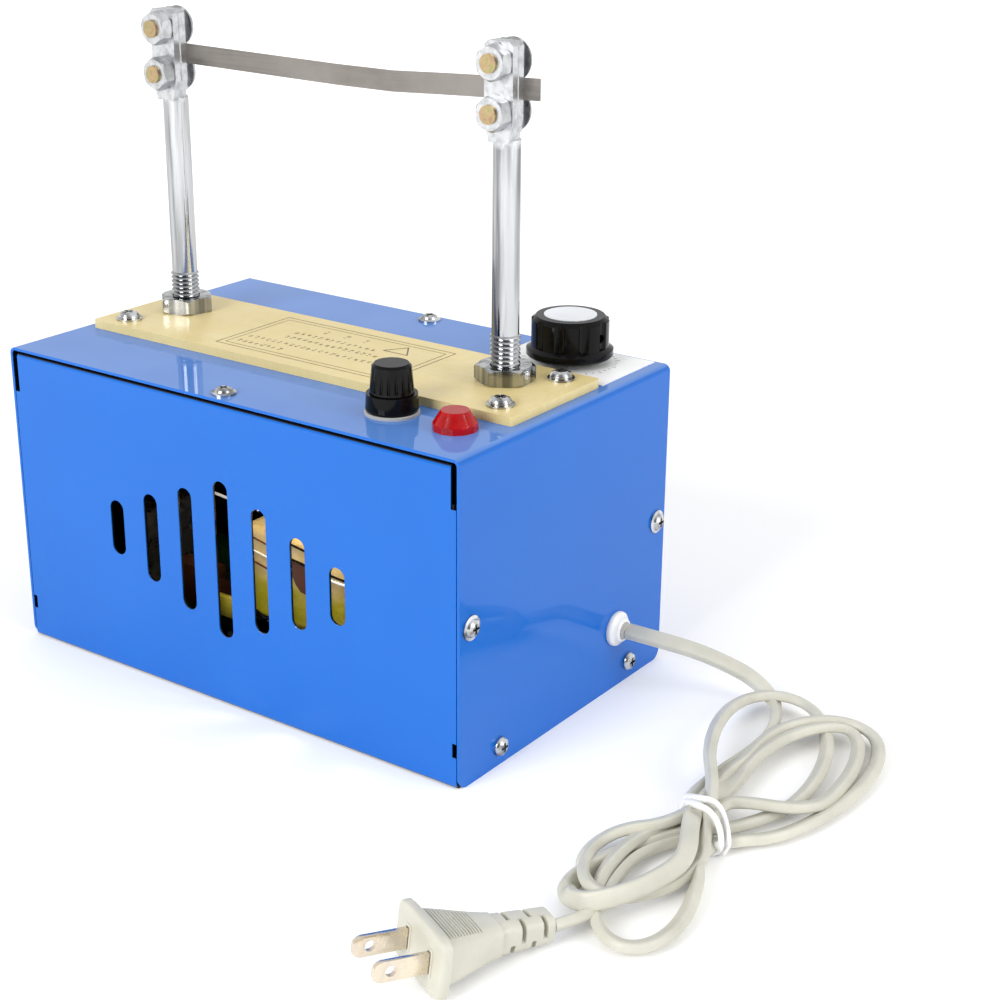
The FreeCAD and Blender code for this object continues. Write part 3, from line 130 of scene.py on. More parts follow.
class Finish:
    """One material, with short ways to add the nodes that give it detail."""

    def __init__(self, name, colour, rough=0.5, metal=0.0, **sockets):
        self.material = bpy.data.materials.new(name)
        self.material.use_nodes = True
        self.tree = self.material.node_tree
        self.shader = self.tree.nodes["Principled BSDF"]
        self.put(Base_Color=(*colour, 1), Roughness=rough, Metallic=metal, **sockets)
        self.heights = []

    def put(self, **sockets):
        """Sets the shader's sockets, an underscore standing for a space."""
        for name, value in sockets.items():
            self.shader.inputs[name.replace("_", " ")].default_value = value

    def node(self, kind, **settings):
        """A node with its settings."""
        made = self.tree.nodes.new("ShaderNode" + kind)
        for name, value in settings.items():
            setattr(made, name, value)
        return made

    def link(self, output, socket):
        """Feeds one of the shader's sockets."""
        self.tree.links.new(output, self.shader.inputs[socket])

    def place(self, stretch=(1, 1, 1)):
        """Object coordinates in metres, stretched."""
        where = self.node("TexCoord")
        mapping = self.node("Mapping")
        mapping.inputs["Scale"].default_value = stretch
        self.tree.links.new(where.outputs["Object"], mapping.inputs["Vector"])
        return mapping.outputs["Vector"]

    def coordinate(self, axis):
        """One object coordinate in metres."""
        where = self.node("SeparateXYZ")
        self.tree.links.new(self.place(), where.inputs[0])
        return where.outputs[axis]

    def noise(self, scale, detail=3.0, rough=0.5, stretch=(1, 1, 1), warp=0.0):
        """Cloudy noise, scale counting its features per metre."""
        made = self.node("TexNoise")
        made.inputs["Scale"].default_value = scale
        made.inputs["Detail"].default_value = detail
        made.inputs["Roughness"].default_value = rough
        made.inputs["Distortion"].default_value = warp
        self.tree.links.new(self.place(stretch), made.inputs["Vector"])
        return made.outputs["Fac"]

    def cells(self, scale):
        """Distance to the nearest of many scattered points."""
        made = self.node("TexVoronoi", feature="F1")
        made.inputs["Scale"].default_value = scale
        self.tree.links.new(self.place(), made.inputs["Vector"])
        return made.outputs["Distance"]

    def waves(self, scale, direction="X", warp=0.0):
        """Parallel bands along one axis."""
        made = self.node("TexWave", wave_type="BANDS", bands_direction=direction, wave_profile="SIN")
        made.inputs["Scale"].default_value = scale
        made.inputs["Distortion"].default_value = warp
        self.tree.links.new(self.place(), made.inputs["Vector"])
        return made.outputs["Fac"]

    def span(self, value, low, high, start=0.0, end=1.0):
        """A value stretched from one range to another and held at its ends."""
        made = self.node("MapRange", clamp=True)
        for name, number in (("From Min", low), ("From Max", high), ("To Min", start), ("To Max", end)):
            made.inputs[name].default_value = number
        self.tree.links.new(value, made.inputs["Value"])
        return made.outputs["Result"]

    def times(self, one, other):
        """Product of two values."""
        made = self.node("Math", operation="MULTIPLY")
        self.tree.links.new(one, made.inputs[0])
        self.tree.links.new(other, made.inputs[1])
        return made.outputs[0]

    def inside(self):
        """1 within the folded box, whose inner faces are painted near black as painted shade for its dark
        interior, and 0 on its outside.
        """
        edge = 0.0002
        within = None
        for axis, limit in INNER_WALLS:
            size = self.node("Math", operation="ABSOLUTE")
            self.tree.links.new(self.coordinate(axis), size.inputs[0])
            one = self.span(size.outputs[0], limit, limit + edge, 1.0, 0.0)
            within = self.times(within, one) if within else one
        return within

    def ramp(self, value, *stops):
        """Colours along a value, each stop a position and a colour."""
        made = self.node("ValToRGB")
        elements = made.color_ramp.elements
        while len(elements) < len(stops):
            elements.new(0.5)
        for element, (position, colour) in zip(elements, stops):
            element.position = position
            element.color = (*colour, 1)
        self.tree.links.new(value, made.inputs["Fac"])
        return made.outputs["Color"]

    def blend(self, value, one, other):
        """Colour one where value is 0, the other where it is 1."""
        made = self.node("Mix", data_type="RGBA")
        self.tree.links.new(value, made.inputs["Factor"])
        for socket, colour in ((made.inputs[6], one), (made.inputs[7], other)):
            if isinstance(colour, tuple):
                socket.default_value = (*colour, 1)
            else:
                self.tree.links.new(colour, socket)
        return made.outputs[2]

    def colour(self, output):
        """Feeds the base colour."""
        self.link(output, "Base Color")

    def roughness(self, value, low, high):
        """Roughness that follows a value from low to high."""
        self.link(self.span(value, 0.3, 0.7, low, high), "Roughness")

    def relief(self, value, depth):
        """Adds a bump of a real depth in metres; several are chained."""
        made = self.node("Bump")
        made.inputs["Strength"].default_value = 1.0
        made.inputs["Distance"].default_value = depth
        self.tree.links.new(value, made.inputs["Height"])
        if self.heights:
            self.tree.links.new(self.heights[-1], made.inputs["Normal"])
        self.heights.append(made.outputs["Normal"])
        self.link(made.outputs["Normal"], "Normal")
        return self


def blue_paint():
    """Glossy enamel with faint orange peel, blended paler where it faces up as a painted sheen; the box's inner
    side is painted near black as painted shade.
    """
    f = Finish("blue_paint", (0.02, 0.15, 0.5), rough=0.3, Coat_Weight=0.75, Coat_Roughness=0.03,
               Specular_IOR_Level=0.0)
    drift = f.noise(14, 4)
    enamel = f.ramp(drift, (0.3, (0.0024, 0.119, 0.505)), (0.7, (0.0034, 0.130, 0.545)))
    # Up-facing faces are blended towards a pale cyan: a painted sheen standing for the pale room mirrored in
    # the top.
    upward = f.node("SeparateXYZ")
    f.tree.links.new(f.node("NewGeometry").outputs["Normal"], upward.inputs[0])
    painted_top_sheen = f.times(f.span(upward.outputs["Z"], 0.6, 0.95), f.span(f.noise(30, 5), 0.2, 0.8, 0.10, 0.145))
    # Near black inside the box: painted shade for the box's dark interior.
    f.colour(f.blend(f.inside(), f.blend(painted_top_sheen, enamel, (0.70, 0.90, 0.92)), (0.004, 0.005, 0.007)))
    f.roughness(f.noise(40, 5), 0.26, 0.38)
    f.relief(f.noise(420, 2, 0.4), 0.00006)
    nib = f.span(f.cells(230), 0.0, 0.1, 1.0, 0.0)
    return f.relief(nib, 0.00005).material


def zinc(name, colour, rough, streak, frost=False):
    """Bright zinc plate with drawn streaks in its roughness and bump, and dark streaks painted into its colour
    as painted reflections; frost makes it cloudy where the posts are forged flat.
    """
    f = Finish(name, colour, rough=rough, metal=1.0)
    # Streaks of colour darkened to about a third: painted reflections of darker surroundings on the metal.
    shade = tuple(c * 0.36 for c in colour)
    painted_reflection_streaks = f.ramp(f.noise(260, 3, 0.55, stretch=streak), (0.38, shade), (0.60, colour))
    if frost:
        forged = f.span(f.coordinate("Z"), FORGED_FROM, FORGED_FROM + 0.002)
        cloudy = f.ramp(f.noise(360, 4, 0.6), (0.36, (0.42, 0.43, 0.44)), (0.56, (0.58, 0.59, 0.60)))
        f.colour(f.blend(forged, painted_reflection_streaks, cloudy))
        matt = f.span(f.noise(420, 3, 0.6), 0.3, 0.7, 0.27, 0.42)
        drawn = f.span(f.noise(300, 3, 0.6, stretch=streak), 0.3, 0.7, rough * 0.75, rough * 1.45)
        mixed = f.node("Mix")
        for value, socket in ((forged, 0), (drawn, 2), (matt, 3)):
            f.tree.links.new(value, mixed.inputs[socket])
        f.link(mixed.outputs[0], "Roughness")
    else:
        f.colour(painted_reflection_streaks)
        f.roughness(f.noise(300, 3, 0.6, stretch=streak), rough * 0.75, rough * 1.45)
    f.relief(f.noise(500, 3, 0.6, stretch=streak), 0.00003)
    return f.material


def worn_metal(name, base, stain, rough, scale=120):
    """Metal with patches of another tint."""
    f = Finish(name, base, rough=rough, metal=1.0)
    f.colour(f.ramp(f.noise(scale, 5, 0.65, warp=0.6), (0.35, stain), (0.62, base)))
    f.roughness(f.noise(scale * 3, 4, 0.6), rough * 0.7, rough * 1.5)
    f.relief(f.noise(scale * 8, 3), 0.00002)
    return f.material


def bolt_metal():
    """Bolts: yellow passivated ends with a pink and an olive bloom in front, grey domed heads behind."""
    f = Finish("bolt_brass", (0.6, 0.45, 0.3), rough=0.3, metal=1.0)
    gold = f.ramp(f.noise(520, 5, 0.65, warp=0.6), (0.35, (0.36, 0.22, 0.15)), (0.5, (0.44, 0.33, 0.18)),
                  (0.68, (0.28, 0.30, 0.13)))
    steel = f.ramp(f.noise(300, 4), (0.3, (0.30, 0.31, 0.32)), (0.7, (0.52, 0.53, 0.53)))
    f.colour(f.blend(f.span(f.coordinate("Y"), HEADS_FROM, HEADS_FROM + 0.001), gold, steel))
    f.roughness(f.noise(500, 4, 0.6), 0.22, 0.42)
    return f.relief(f.noise(900, 3), 0.00002).material


def moulded(name, colour, rough, grain=900, depth=0.00002, shade=0.86, **sockets):
    """Moulded plastic with a fine grain and uneven gloss."""
    f = Finish(name, colour, rough=rough, **sockets)
    f.colour(f.ramp(f.noise(45, 4), (0.3, tuple(c * shade for c in colour)), (0.7, colour)))
    f.roughness(f.noise(170, 4), rough * 0.8, rough * 1.25)
    return f.relief(f.noise(grain, 2), depth).material


def board_fibre():
    """Resin-bonded glass cloth: a tan board whose weave shows through a satin skin."""
    f = Finish("board_fibre", (0.5, 0.4, 0.17), rough=0.4, Coat_Weight=0.25, Coat_Roughness=0.2)
    cloud = f.ramp(f.noise(24, 5, 0.6), (0.3, (0.64, 0.50, 0.21)), (0.7, (0.76, 0.63, 0.30)))
    weave = f.times(f.waves(260, "X", 0.6), f.waves(260, "Y", 0.6))
    pale = f.blend(f.span(weave, 0.3, 0.9, 0.0, 0.25), (0.68, 0.55, 0.24), (0.84, 0.74, 0.42))
    f.colour(f.blend(f.span(f.noise(300, 2), 0.4, 0.6, 0.2, 0.8), cloud, pale))
    f.roughness(f.noise(90, 4), 0.34, 0.5)
    f.relief(weave, 0.00003)
    return f.relief(f.noise(700, 3), 0.00003).material


def blade_alloy():
    """Resistance strip: warm grey, rolled lengthwise and heat-marked."""
    f = Finish("blade_alloy", (0.30, 0.28, 0.26), rough=0.36, metal=1.0)
    rolled = f.noise(700, 3, 0.6, stretch=(0.03, 1, 1))
    heat = f.noise(28, 4, 0.6)
    tint = f.ramp(heat, (0.3, (0.17, 0.157, 0.143)), (0.7, (0.29, 0.27, 0.245)))
    f.colour(f.blend(f.span(rolled, 0.4, 0.6, 0.0, 0.5), tint, (0.28, 0.26, 0.24)))
    f.roughness(rolled, 0.28, 0.5)
    return f.relief(rolled, 0.00003).material


def cord_vinyl():
    """Grey-beige cord vinyl with a soft sheen and handling marks."""
    f = Finish("cord_vinyl", (0.62, 0.61, 0.55), rough=0.36, Specular_IOR_Level=0.5,
               Subsurface_Weight=0.06, Subsurface_Radius=(0.002, 0.0018, 0.0012))
    f.colour(f.ramp(f.noise(60, 5, 0.6), (0.28, (0.50, 0.49, 0.415)), (0.72, (0.61, 0.595, 0.51))))
    f.roughness(f.noise(240, 4), 0.34, 0.52)
    f.relief(f.noise(380, 3), 0.00006)
    return f.relief(f.noise(1500, 2), 0.00002).material


def clear(name, colour, rough, ior, grain):
    """Glass or clear plastic, a little uneven."""
    f = Finish(name, colour, rough=rough, Transmission_Weight=1.0, IOR=ior)
    f.colour(f.ramp(f.noise(90, 3), (0.3, tuple(c * 0.9 for c in colour)), (0.7, colour)))
    f.roughness(f.noise(200, 3), rough, rough + 0.08)
    return f.relief(f.noise(grain, 2), 0.00002).material


def red_lens():
    """Translucent red moulding, a little cloudy."""
    f = Finish("red_lens", (0.5, 0.004, 0.006), rough=0.06, Transmission_Weight=0.45, IOR=1.45,
               Coat_Weight=0.0, Specular_IOR_Level=0.18)
    f.colour(f.ramp(f.noise(240, 3), (0.3, (0.50, 0.003, 0.005)), (0.7, (0.72, 0.008, 0.011))))
    f.roughness(f.noise(160, 3), 0.08, 0.2)
    return f.relief(f.noise(500, 2), 0.00003).material


def stacked(name, dark, light, pitch, axis, rough, metal):
    """Thin sheets seen on edge: bands across one axis."""
    f = Finish(name, light, rough=rough, metal=metal)
    bands = f.waves(pitch, axis, 0.8)
    f.colour(f.ramp(f.times(bands, f.noise(120, 4)), (0.1, dark), (0.5, light)))
    f.roughness(f.noise(100, 4), rough * 0.8, rough * 1.3)
    return f.relief(bands, 0.00012).material


def copper():
    """Enamelled copper winding: close turns with a varnish gloss."""
    f = Finish("winding_copper", (0.55, 0.22, 0.08), rough=0.3, metal=0.9, Coat_Weight=0.6)
    turns = f.waves(620, "Z", 0.4)
    f.colour(f.ramp(turns, (0.1, (0.08, 0.03, 0.01)), (0.7, (0.30, 0.14, 0.06))))
    f.roughness(f.noise(120, 3), 0.22, 0.4)
    return f.relief(turns, 0.0002).material


def coil_tape():
    """Yellow film wound round the coil: browner patches, crinkles and an olive varnish stain low down."""
    f = Finish("coil_tape", (0.72, 0.62, 0.22), rough=0.3, Coat_Weight=0.4, Coat_Roughness=0.15)
    crinkle = f.noise(120, 6, 0.7, stretch=(0.35, 1, 2.2), warp=0.8)
    film = f.ramp(f.noise(70, 5, 0.6), (0.3, (0.46, 0.31, 0.10)), (0.7, (0.74, 0.56, 0.26)))
    browned = f.blend(f.span(crinkle, 0.60, 0.72), film, (0.34, 0.20, 0.05))
    low = f.span(f.coordinate("Z"), 0.040, 0.0455, 1.0, 0.0)
    stain = f.times(low, f.span(f.noise(160, 4), 0.25, 0.6, 0.55, 1.0))
    f.colour(f.blend(stain, browned, (0.40, 0.34, 0.012)))
    f.roughness(f.noise(150, 4), 0.2, 0.45)
    f.relief(crinkle, 0.0002)
    return f.relief(f.noise(260, 4), 0.0003).material


def label_film():
    """White printed film with a faint satin grain."""
    f = Finish("label_film", (0.82, 0.83, 0.84), rough=0.4)
    f.colour(f.ramp(f.noise(35, 4), (0.3, (0.84, 0.85, 0.85)), (0.7, (0.93, 0.94, 0.93))))
    f.roughness(f.noise(120, 4), 0.32, 0.5)
    return f.relief(f.noise(1200, 2), 0.00002).material


def floor_finish():
    """Pale studio floor that glows, faintly near the object and more further out: painted light that keeps the
    far floor white and lights the object a little from below.
    """
    f = Finish("studio_floor", (0.9, 0.9, 0.9), rough=0.9, Specular_IOR_Level=0.1,
               Emission_Color=(1, 1, 1, 1))
    # Painted light: the floor's glow rises from 0.12 near the origin to 0.6 beyond 1.5 m.
    far = f.node("VectorMath", operation="LENGTH")
    f.tree.links.new(f.place(), far.inputs[0])
    f.link(f.span(far.outputs["Value"], 0.3, 1.5, 0.12, 0.6), "Emission Strength")
    f.colour(f.ramp(f.noise(3, 2), (0.3, (0.895, 0.895, 0.895)), (0.7, (0.905, 0.905, 0.905))))
    return f.material


STREAK_UP = (1, 1, 0.05)
FINISHES = {
    "blue_paint": blue_paint(),
    "bright_plate": zinc("bright_plate", (0.50, 0.51, 0.52), 0.13, STREAK_UP, True),
    "screw_steel": zinc("screw_steel", (0.66, 0.67, 0.68), 0.2, (1, 1, 1)),
    "bolt_brass": bolt_metal(),
    "plug_brass": worn_metal("plug_brass", (0.80, 0.70, 0.55), (0.62, 0.56, 0.50), 0.25, 90),
    "board_fibre": board_fibre(),
    "blade_alloy": blade_alloy(),
    "black_plastic": moulded("black_plastic", (0.0045, 0.0045, 0.0045), 0.10, 700, 0.00002, 0.6,
                             Specular_IOR_Level=0.12),
    "silver_disc": moulded("silver_disc", (0.78, 0.80, 0.84), 0.34, 1500, 0.00001, 0.94),
    "grey_rubber": moulded("grey_rubber", (0.42, 0.42, 0.41), 0.7, 900, 0.00004, 0.85),
    "label_film": label_film(),
    "shaft_metal": worn_metal("shaft_metal", (0.62, 0.58, 0.5), (0.5, 0.46, 0.4), 0.3),
    "red_lens": red_lens(),
    "lamp_body": moulded("lamp_body", (0.05, 0.05, 0.055), 0.4),
    "fuse_glass": clear("fuse_glass", (0.95, 0.97, 0.96), 0.02, 1.5, 300),
    "fuse_metal": worn_metal("fuse_metal", (0.75, 0.74, 0.72), (0.6, 0.58, 0.55), 0.25),
    "white_plastic": moulded("white_plastic", (0.86, 0.86, 0.85), 0.32, 600, 0.00003, 0.95),
    "cord_grey": cord_vinyl(),
    "core_steel": stacked("core_steel", (0.03, 0.032, 0.036), (0.16, 0.165, 0.175), 320, "Y", 0.45, 0.8),
    "packer_board": moulded("packer_board", (0.16, 0.10, 0.05), 0.7, 500, 0.00008, 0.75),
    "bobbin_nylon": moulded("bobbin_nylon", (0.45, 0.36, 0.2), 0.45, 500, 0.00004, 0.85),
    "winding_copper": copper(),
    "coil_tape": coil_tape(),
    "circuit_green": moulded("circuit_green", (0.012, 0.05, 0.022), 0.35, 400, 0.00005, 0.7),
    "capacitor_film": moulded("capacitor_film", (0.10, 0.03, 0.012), 0.35, 400, 0.00005, 0.8),
    "lead_insulation": moulded("lead_insulation", (0.30, 0.30, 0.30), 0.45, 700, 0.00004, 0.7),
}


def dress_nodes():
    """Gives every CAD node the finish of its material slot."""
    for row in frame["record"]["subparts"]:
        mesh = NODES[row["node"]].data
        mesh.materials.clear()
        mesh.materials.append(FINISHES[row["material_slot"]])


# ---------------------------------------------------------------- meshes

def new_piece(name, bm, finish, smooth=None):
    """Turns a bmesh into a piece of the body; smooth is the sharpest angle that is shaded smooth."""
    bmesh.ops.recalc_face_normals(bm, faces=bm.faces)
    mesh = bpy.data.meshes.new(name)
    bm.to_mesh(mesh)
    bm.free()
    piece = bpy.data.objects.new(name, mesh)
    bpy.context.scene.collection.objects.link(piece)
    mesh.materials.append(finish if not isinstance(finish, str) else FINISHES[finish])
    if smooth is not None:
        mesh.shade_smooth()
        mesh.set_sharp_from_angle(angle=math.radians(smooth))
    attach(piece, "body")
    return piece


def skin(bm, rings):
    """Faces between each ring and the next."""
    for one, other in zip(rings, rings[1:]):
        for k in range(len(one)):
            m = (k + 1) % len(one)
            bm.faces.new((one[k], one[m], other[m], other[k]))


def sweep(bm, path, section, side_at, closed=False):
    """A section of (wide, thin) points swept along a path; side_at gives each ring its wide direction."""
    rings = []
    count = len(path)
    for i, point in enumerate(path):
        before = path[(i - 1) % count] if closed else path[max(i - 1, 0)]
        after = path[(i + 1) % count] if closed else path[min(i + 1, count - 1)]
        run = (after - before).normalized()
        wide = side_at(i, run)
        thin = run.cross(wide)
        rings.append([bm.verts.new(point + wide * a + thin * b) for a, b in section])
    skin(bm, rings + rings[:1] if closed else rings)
    if not closed:
        bm.faces.new(rings[0])
        bm.faces.new(rings[-1])


def oval(half_wide, half_thin, count, power):
    """A flattened oval, rounder as power nears 2."""
    points = []
    for k in range(count):
        a = 2 * math.pi * k / count
        c, s = math.cos(a), math.sin(a)
        points.append((half_wide * math.copysign(abs(c) ** (2 / power), c),
                       half_thin * math.copysign(abs(s) ** (2 / power), s)))
    return points


def spline_points(name, controls, per_run):
    """Points read from a smooth NURBS with the given control points (three in, metres)."""
    data = bpy.data.curves.new(name, "CURVE")
    data.dimensions = "3D"
    spline = data.splines.new("NURBS")
    spline.points.add(len(controls) - 1)
    for point, place in zip(spline.points, controls):
        point.co = (*place, 1.0)
    spline.order_u = 3
    spline.use_endpoint_u = True
    data.resolution_u = per_run
    carrier = bpy.data.objects.new(name, data)
    bpy.context.scene.collection.objects.link(carrier)
    mesh = bpy.data.meshes.new_from_object(carrier)
    points = [v.co.copy() for v in mesh.vertices]
    bpy.data.objects.remove(carrier)
    bpy.data.meshes.remove(mesh)
    bpy.data.curves.remove(data)
    return points


# ---------------------------------------------------------------- cord

CORD_WIDE = 5.6
CORD_THICK = 3.4
LEAD_ROUTE = [(102.5, 30, 22.6), (111, 30.8, 22.3), (118.5, 34.6, 20.4), (125.6, 39.8, 17.4),
              (132.4, 45.2, 13.2), (139, 49.6, 9), (145.6, 50, 5.4)]
LEAD_UNDER = [(152, 46.2, 3.1), (158, 35.5, 2.7), (161, 22, 2.7), (160.8, 9, 2.7), (159.6, -4, 2.8)]
TAIL_ROUTE = [(170.6, -93.4, 3.1), (170.2, -99.2, 3.9), (169.2, -105.4, 4.9), (166.95, -111.36, 5.47)]
# Where each strand passes the tie, from one lobe to the other, in the order the cord runs.
TIE_LEAD = [(159.2, -15, 2.9), (160.2, -25, 2.9), (163.6, -34, 2.9), (164.8, -42, 3.1), (163.3, -47, 3.6)]
TIE_OUTER_IN = [(179.2, -50.5, 2.9), (179.4, -45, 2.9), (182.4, -40.8, 2.8), (186.4, -36.4, 2.8)]
TIE_OUTER_OUT = [(163.6, -9.3, 5.2), (164.9, -17.8, 5.4), (166, -25.6, 5.8), (166.8, -33, 6.2),
                 (166.8, -39.5, 6.2), (165, -45.2, 6)]
TIE_TALL_IN = [(178.6, -48.6, 4.8), (175.8, -42.6, 6.4), (172.8, -36.8, 7.8), (169.9, -29.6, 8.6),
               (166.6, -23.4, 8.9)]
TIE_TALL_OUT = [(182.6, -26.7, 2.8), (180.1, -31.6, 2.8), (177.4, -35.4, 2.9), (172.6, -38.2, 2.9),
                (168.6, -43.4, 2.8), (165, -50, 2.7), (161.8, -57, 2.7), (159.8, -63.9, 2.7)]
TIE_MIDDLE_IN = [(178.4, -57.6, 8.6), (173.4, -48.2, 8.6), (170.1, -40.4, 8.4), (168.4, -32.6, 7.4),
                 (168.2, -25, 6), (168.6, -17.6, 5.2)]
TIE_MIDDLE_OUT = [(194.6, -12.6, 5.6), (192, -17.5, 6.6), (188.2, -20.1, 6.9), (183.8, -21.6, 6.9),
                  (178.6, -23.9, 6.9), (173.9, -27.2, 6.9), (173.2, -33.4, 5), (173.6, -40, 3.4),
                  (171.2, -46.4, 2.9), (168, -52.6, 2.7)]
BELOW_BAND = [(165.6, -59, 2.7), (164.6, -65.4, 2.7), (165.2, -72, 2.7), (166.6, -79, 2.7),
              (168.8, -86.4, 2.8)]
# What is lifted leans towards the front: mm across for each mm of height, and the height it starts from.
LEAN = Vector((1.49, -2.1))
LEAN_FROM = 3.0
# How far the whole route is raised to clear the floor.
FLOOR_ROOM = 0.22


def turn(centre, reach, half, heading, lean, first, last, count, heights, blunt=1.0):
    """One open turn of the hank: points on an egg wider towards its tip, at evenly spaced heights."""
    along = Vector((math.cos(math.radians(heading)), math.sin(math.radians(heading))))
    side = Vector((-along.y, along.x))
    points = []
    for i in range(count):
        share = i / (count - 1)
        angle = math.radians(first + (last - first) * share)
        c, s = math.cos(angle), math.sin(angle)
        out = math.copysign(abs(c) ** blunt, c)
        step = share * (len(heights) - 1)
        low = min(int(step), len(heights) - 2)
        height = heights[low] + (heights[low + 1] - heights[low]) * (step - low)
        flat = Vector(centre) + along * (reach * out) + side * (half * s * (1 + lean * out))
        flat += LEAN * (height - LEAN_FROM)
        points.append((flat.x, flat.y, height))
    return points


def hank_controls():
    """Control points of the whole cord in mm, and how far each rolls it from edge-on, in degrees."""
    runs = [
        (LEAD_ROUTE, 50),
        (LEAD_UNDER, 25),
        (TIE_LEAD, 0),
        (turn((175.4, -75.5), 31.7, 13.9, -68.2, 0.0, -159, 117, 14,
              (4.2, 5.2, 5.4, 4.2, 2.9, 2.7, 2.7, 2.7, 2.7, 2.8, 2.9, 2.9, 2.9, 2.9), 0.93), 0),
        (TIE_OUTER_IN, 0),
        (turn((181.2, 7.1), 43.0, 19.7, 97.7, 0.26, -166, 86, 13,
              (2.8, 2.7, 2.7, 2.7, 2.7, 2.7, 3.0, 4.6, 5.6, 5.8, 5.4, 5.2, 5.4), 1.02), 0),
        (TIE_OUTER_OUT, 0),
        (turn((166.2, -62.7), 21.3, 15.4, -90.3, 0.0, -146, 114, 14,
              (5.8, 5.4, 4.6, 3.8, 3.8, 5.0, 6.2, 6.2, 5.4, 4.2, 3.4, 3.2, 3.2, 3.8), 0.87), 0),
        (TIE_TALL_IN, 0),
        (turn((164.9, 14.5), 42.6, 19.8, 114.2, 0.16, 110, -167, 14,
              (8.8, 9.2, 8.4, 6.8, 6.0, 5.8, 5.0, 3.4, 2.7, 2.7, 2.7, 2.7, 2.7, 2.7), 1.05), 0),
        (TIE_TALL_OUT, 0),
        (turn((165.0, -71.2), 21.3, 5.7, -106.0, 0.0, -85, 154, 12,
              (2.7, 2.7, 2.9, 3.6, 5.0, 6.6, 7.8, 8.4, 8.6, 8.6, 8.6, 8.6)), 90),
        (TIE_MIDDLE_IN, 70),
        (turn((178.6, 11.4), 33.7, 16.0, 94.3, -0.05, 118, -119, 14,
              (5.2, 5.4, 5.8, 6.0, 6.2, 6.2, 5.6, 4.4, 3.4, 2.9, 2.8, 2.9, 3.4, 4.4), 1.01), 0),
        (TIE_MIDDLE_OUT, 0),
        (BELOW_BAND, 20),
        (TAIL_ROUTE, 20),
    ]
    controls = [(x, y, z + FLOOR_ROOM) for points, _ in runs for x, y, z in points]
    rolls = [roll for points, roll in runs for _ in points]
    return controls, rolls


def make_cord():
    """The flat two-core cord from the bush, through the tied hank, to the plug's strain relief."""
    controls, rolls = hank_controls()
    path = spline_points("cord_line", [Vector(p) * MM for p in controls], 10)
    edge_on = Vector((0.54, -0.76, 0.36))
    sides = []
    for i, point in enumerate(path):
        run = (path[min(i + 1, len(path) - 1)] - path[max(i - 1, 0)]).normalized()
        place = i / (len(path) - 1) * (len(rolls) - 1)
        near = range(int(place) - 2, int(place) + 4)
        weights = [max(0.0, 1 - abs(place - k) / 2.5) for k in near]
        picked = [rolls[min(max(k, 0), len(rolls) - 1)] for k in near]
        roll = math.radians(sum(w * r for w, r in zip(weights, picked)) / sum(weights))
        wide = (edge_on - run * edge_on.dot(run)).normalized()
        sides.append(wide * math.cos(roll) + run.cross(wide) * math.sin(roll))
    bm = bmesh.new()
    section = [(a * MM, b * MM) for a, b in oval(CORD_WIDE / 2, CORD_THICK / 2, 32, 4.2)]
    sweep(bm, path, section, lambda i, run: sides[i])
    cord = new_piece("mains_cord", bm, "cord_grey", smooth=60)
    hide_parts("cord_lead", "cord_hank", "cord_tail")
    return cord, path


# ---------------------------------------------------------------- tie and plug

# The tie's two loops round the hank and its folded end, in mm.
TIE_LOOPS = {
    "tie_loop_upper": [(161.4, -31.2, 4.6), (163.0, -32.6, 7.6), (166.2, -35.9, 10.4), (170.7, -38.2, 12.4),
                       (173.9, -37.6, 12.8), (176.6, -37.3, 11.9), (179.0, -38.3, 9.8), (181.2, -40.4, 8.2),
                       (183.2, -42.8, 7), (184.3, -44.6, 5.9), (183.8, -44.0, 3.4), (182.6, -45.6, 1.1),
                       (178, -39.2, 1.1), (170, -35.4, 1.1), (163.2, -31.4, 1.4)],
    "tie_loop_lower": [(162.2, -34.4, 4.4), (164.2, -35.8, 7.8), (168.2, -39.7, 11), (172.8, -42.5, 12.8),
                       (176.2, -42.6, 12.5), (178.9, -43.0, 10.8), (181.2, -44.7, 9.2), (182.9, -46.4, 7.6),
                       (183.6, -47.7, 6), (182.3, -46.1, 3), (179.6, -47.4, 1.1), (175.8, -42.4, 1.1),
                       (169.6, -38.8, 1.1), (163.6, -35.2, 1.4)],
}
TIE_ENDS = {
    "tie_end_twisted": [(183.9, -44.6, 4.6), (183.6, -43.9, 2.8), (182.5, -44.8, 1.8), (180.8, -45.6, 1.5),
                        (179.7, -45.9, 2.2), (181.0, -46.8, 4.2), (183.0, -47.4, 5.4)],
}
TIE_RADIUS = 1.0


def make_tie():
    """Plastic-covered wire wound twice round the hank, with its ends folded together."""
    pieces = []
    section = [(a * MM, b * MM) for a, b in oval(TIE_RADIUS * 1.15, TIE_RADIUS * 0.9, 12, 2.3)]
    for closed, group in ((True, TIE_LOOPS), (False, TIE_ENDS)):
        for name, controls in group.items():
            if closed:
                controls = controls[-2:] + controls + controls[:2]
            path = spline_points(name, [Vector(p) * MM for p in controls], 8)
            if closed:
                path = trimmed_loop(path)
            bm = bmesh.new()
            sweep(bm, path, section, lambda i, run: run.cross(Vector((0.62, 0.78, 0.1))).normalized(), closed)
            pieces.append(new_piece(name, bm, "white_plastic", smooth=60))
    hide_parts("twist_tie")
    return pieces


def trimmed_loop(path):
    """The part of an overlapping path that closes on itself."""
    first = len(path) // 8
    later = range(len(path) // 2, len(path))
    end = min(later, key=lambda i: (path[i] - path[first]).length)
    return path[first:end]


# The plug's own axes: its face at the origin, its pins towards +X, its width along Y.
PLUG_FRAME = (Matrix.Translation(Vector((147.8, -145.6, 9.5)) * MM)
              @ Matrix.Rotation(math.radians(-116), 4, "Z")
              @ Matrix.Rotation(math.radians(-6.5), 4, "Y"))
PIN_PITCH = 12.7
PIN_THICK = 1.5
PIN_HOLE_AT = 11.3
PIN_HOLE_RADIUS = 1.55


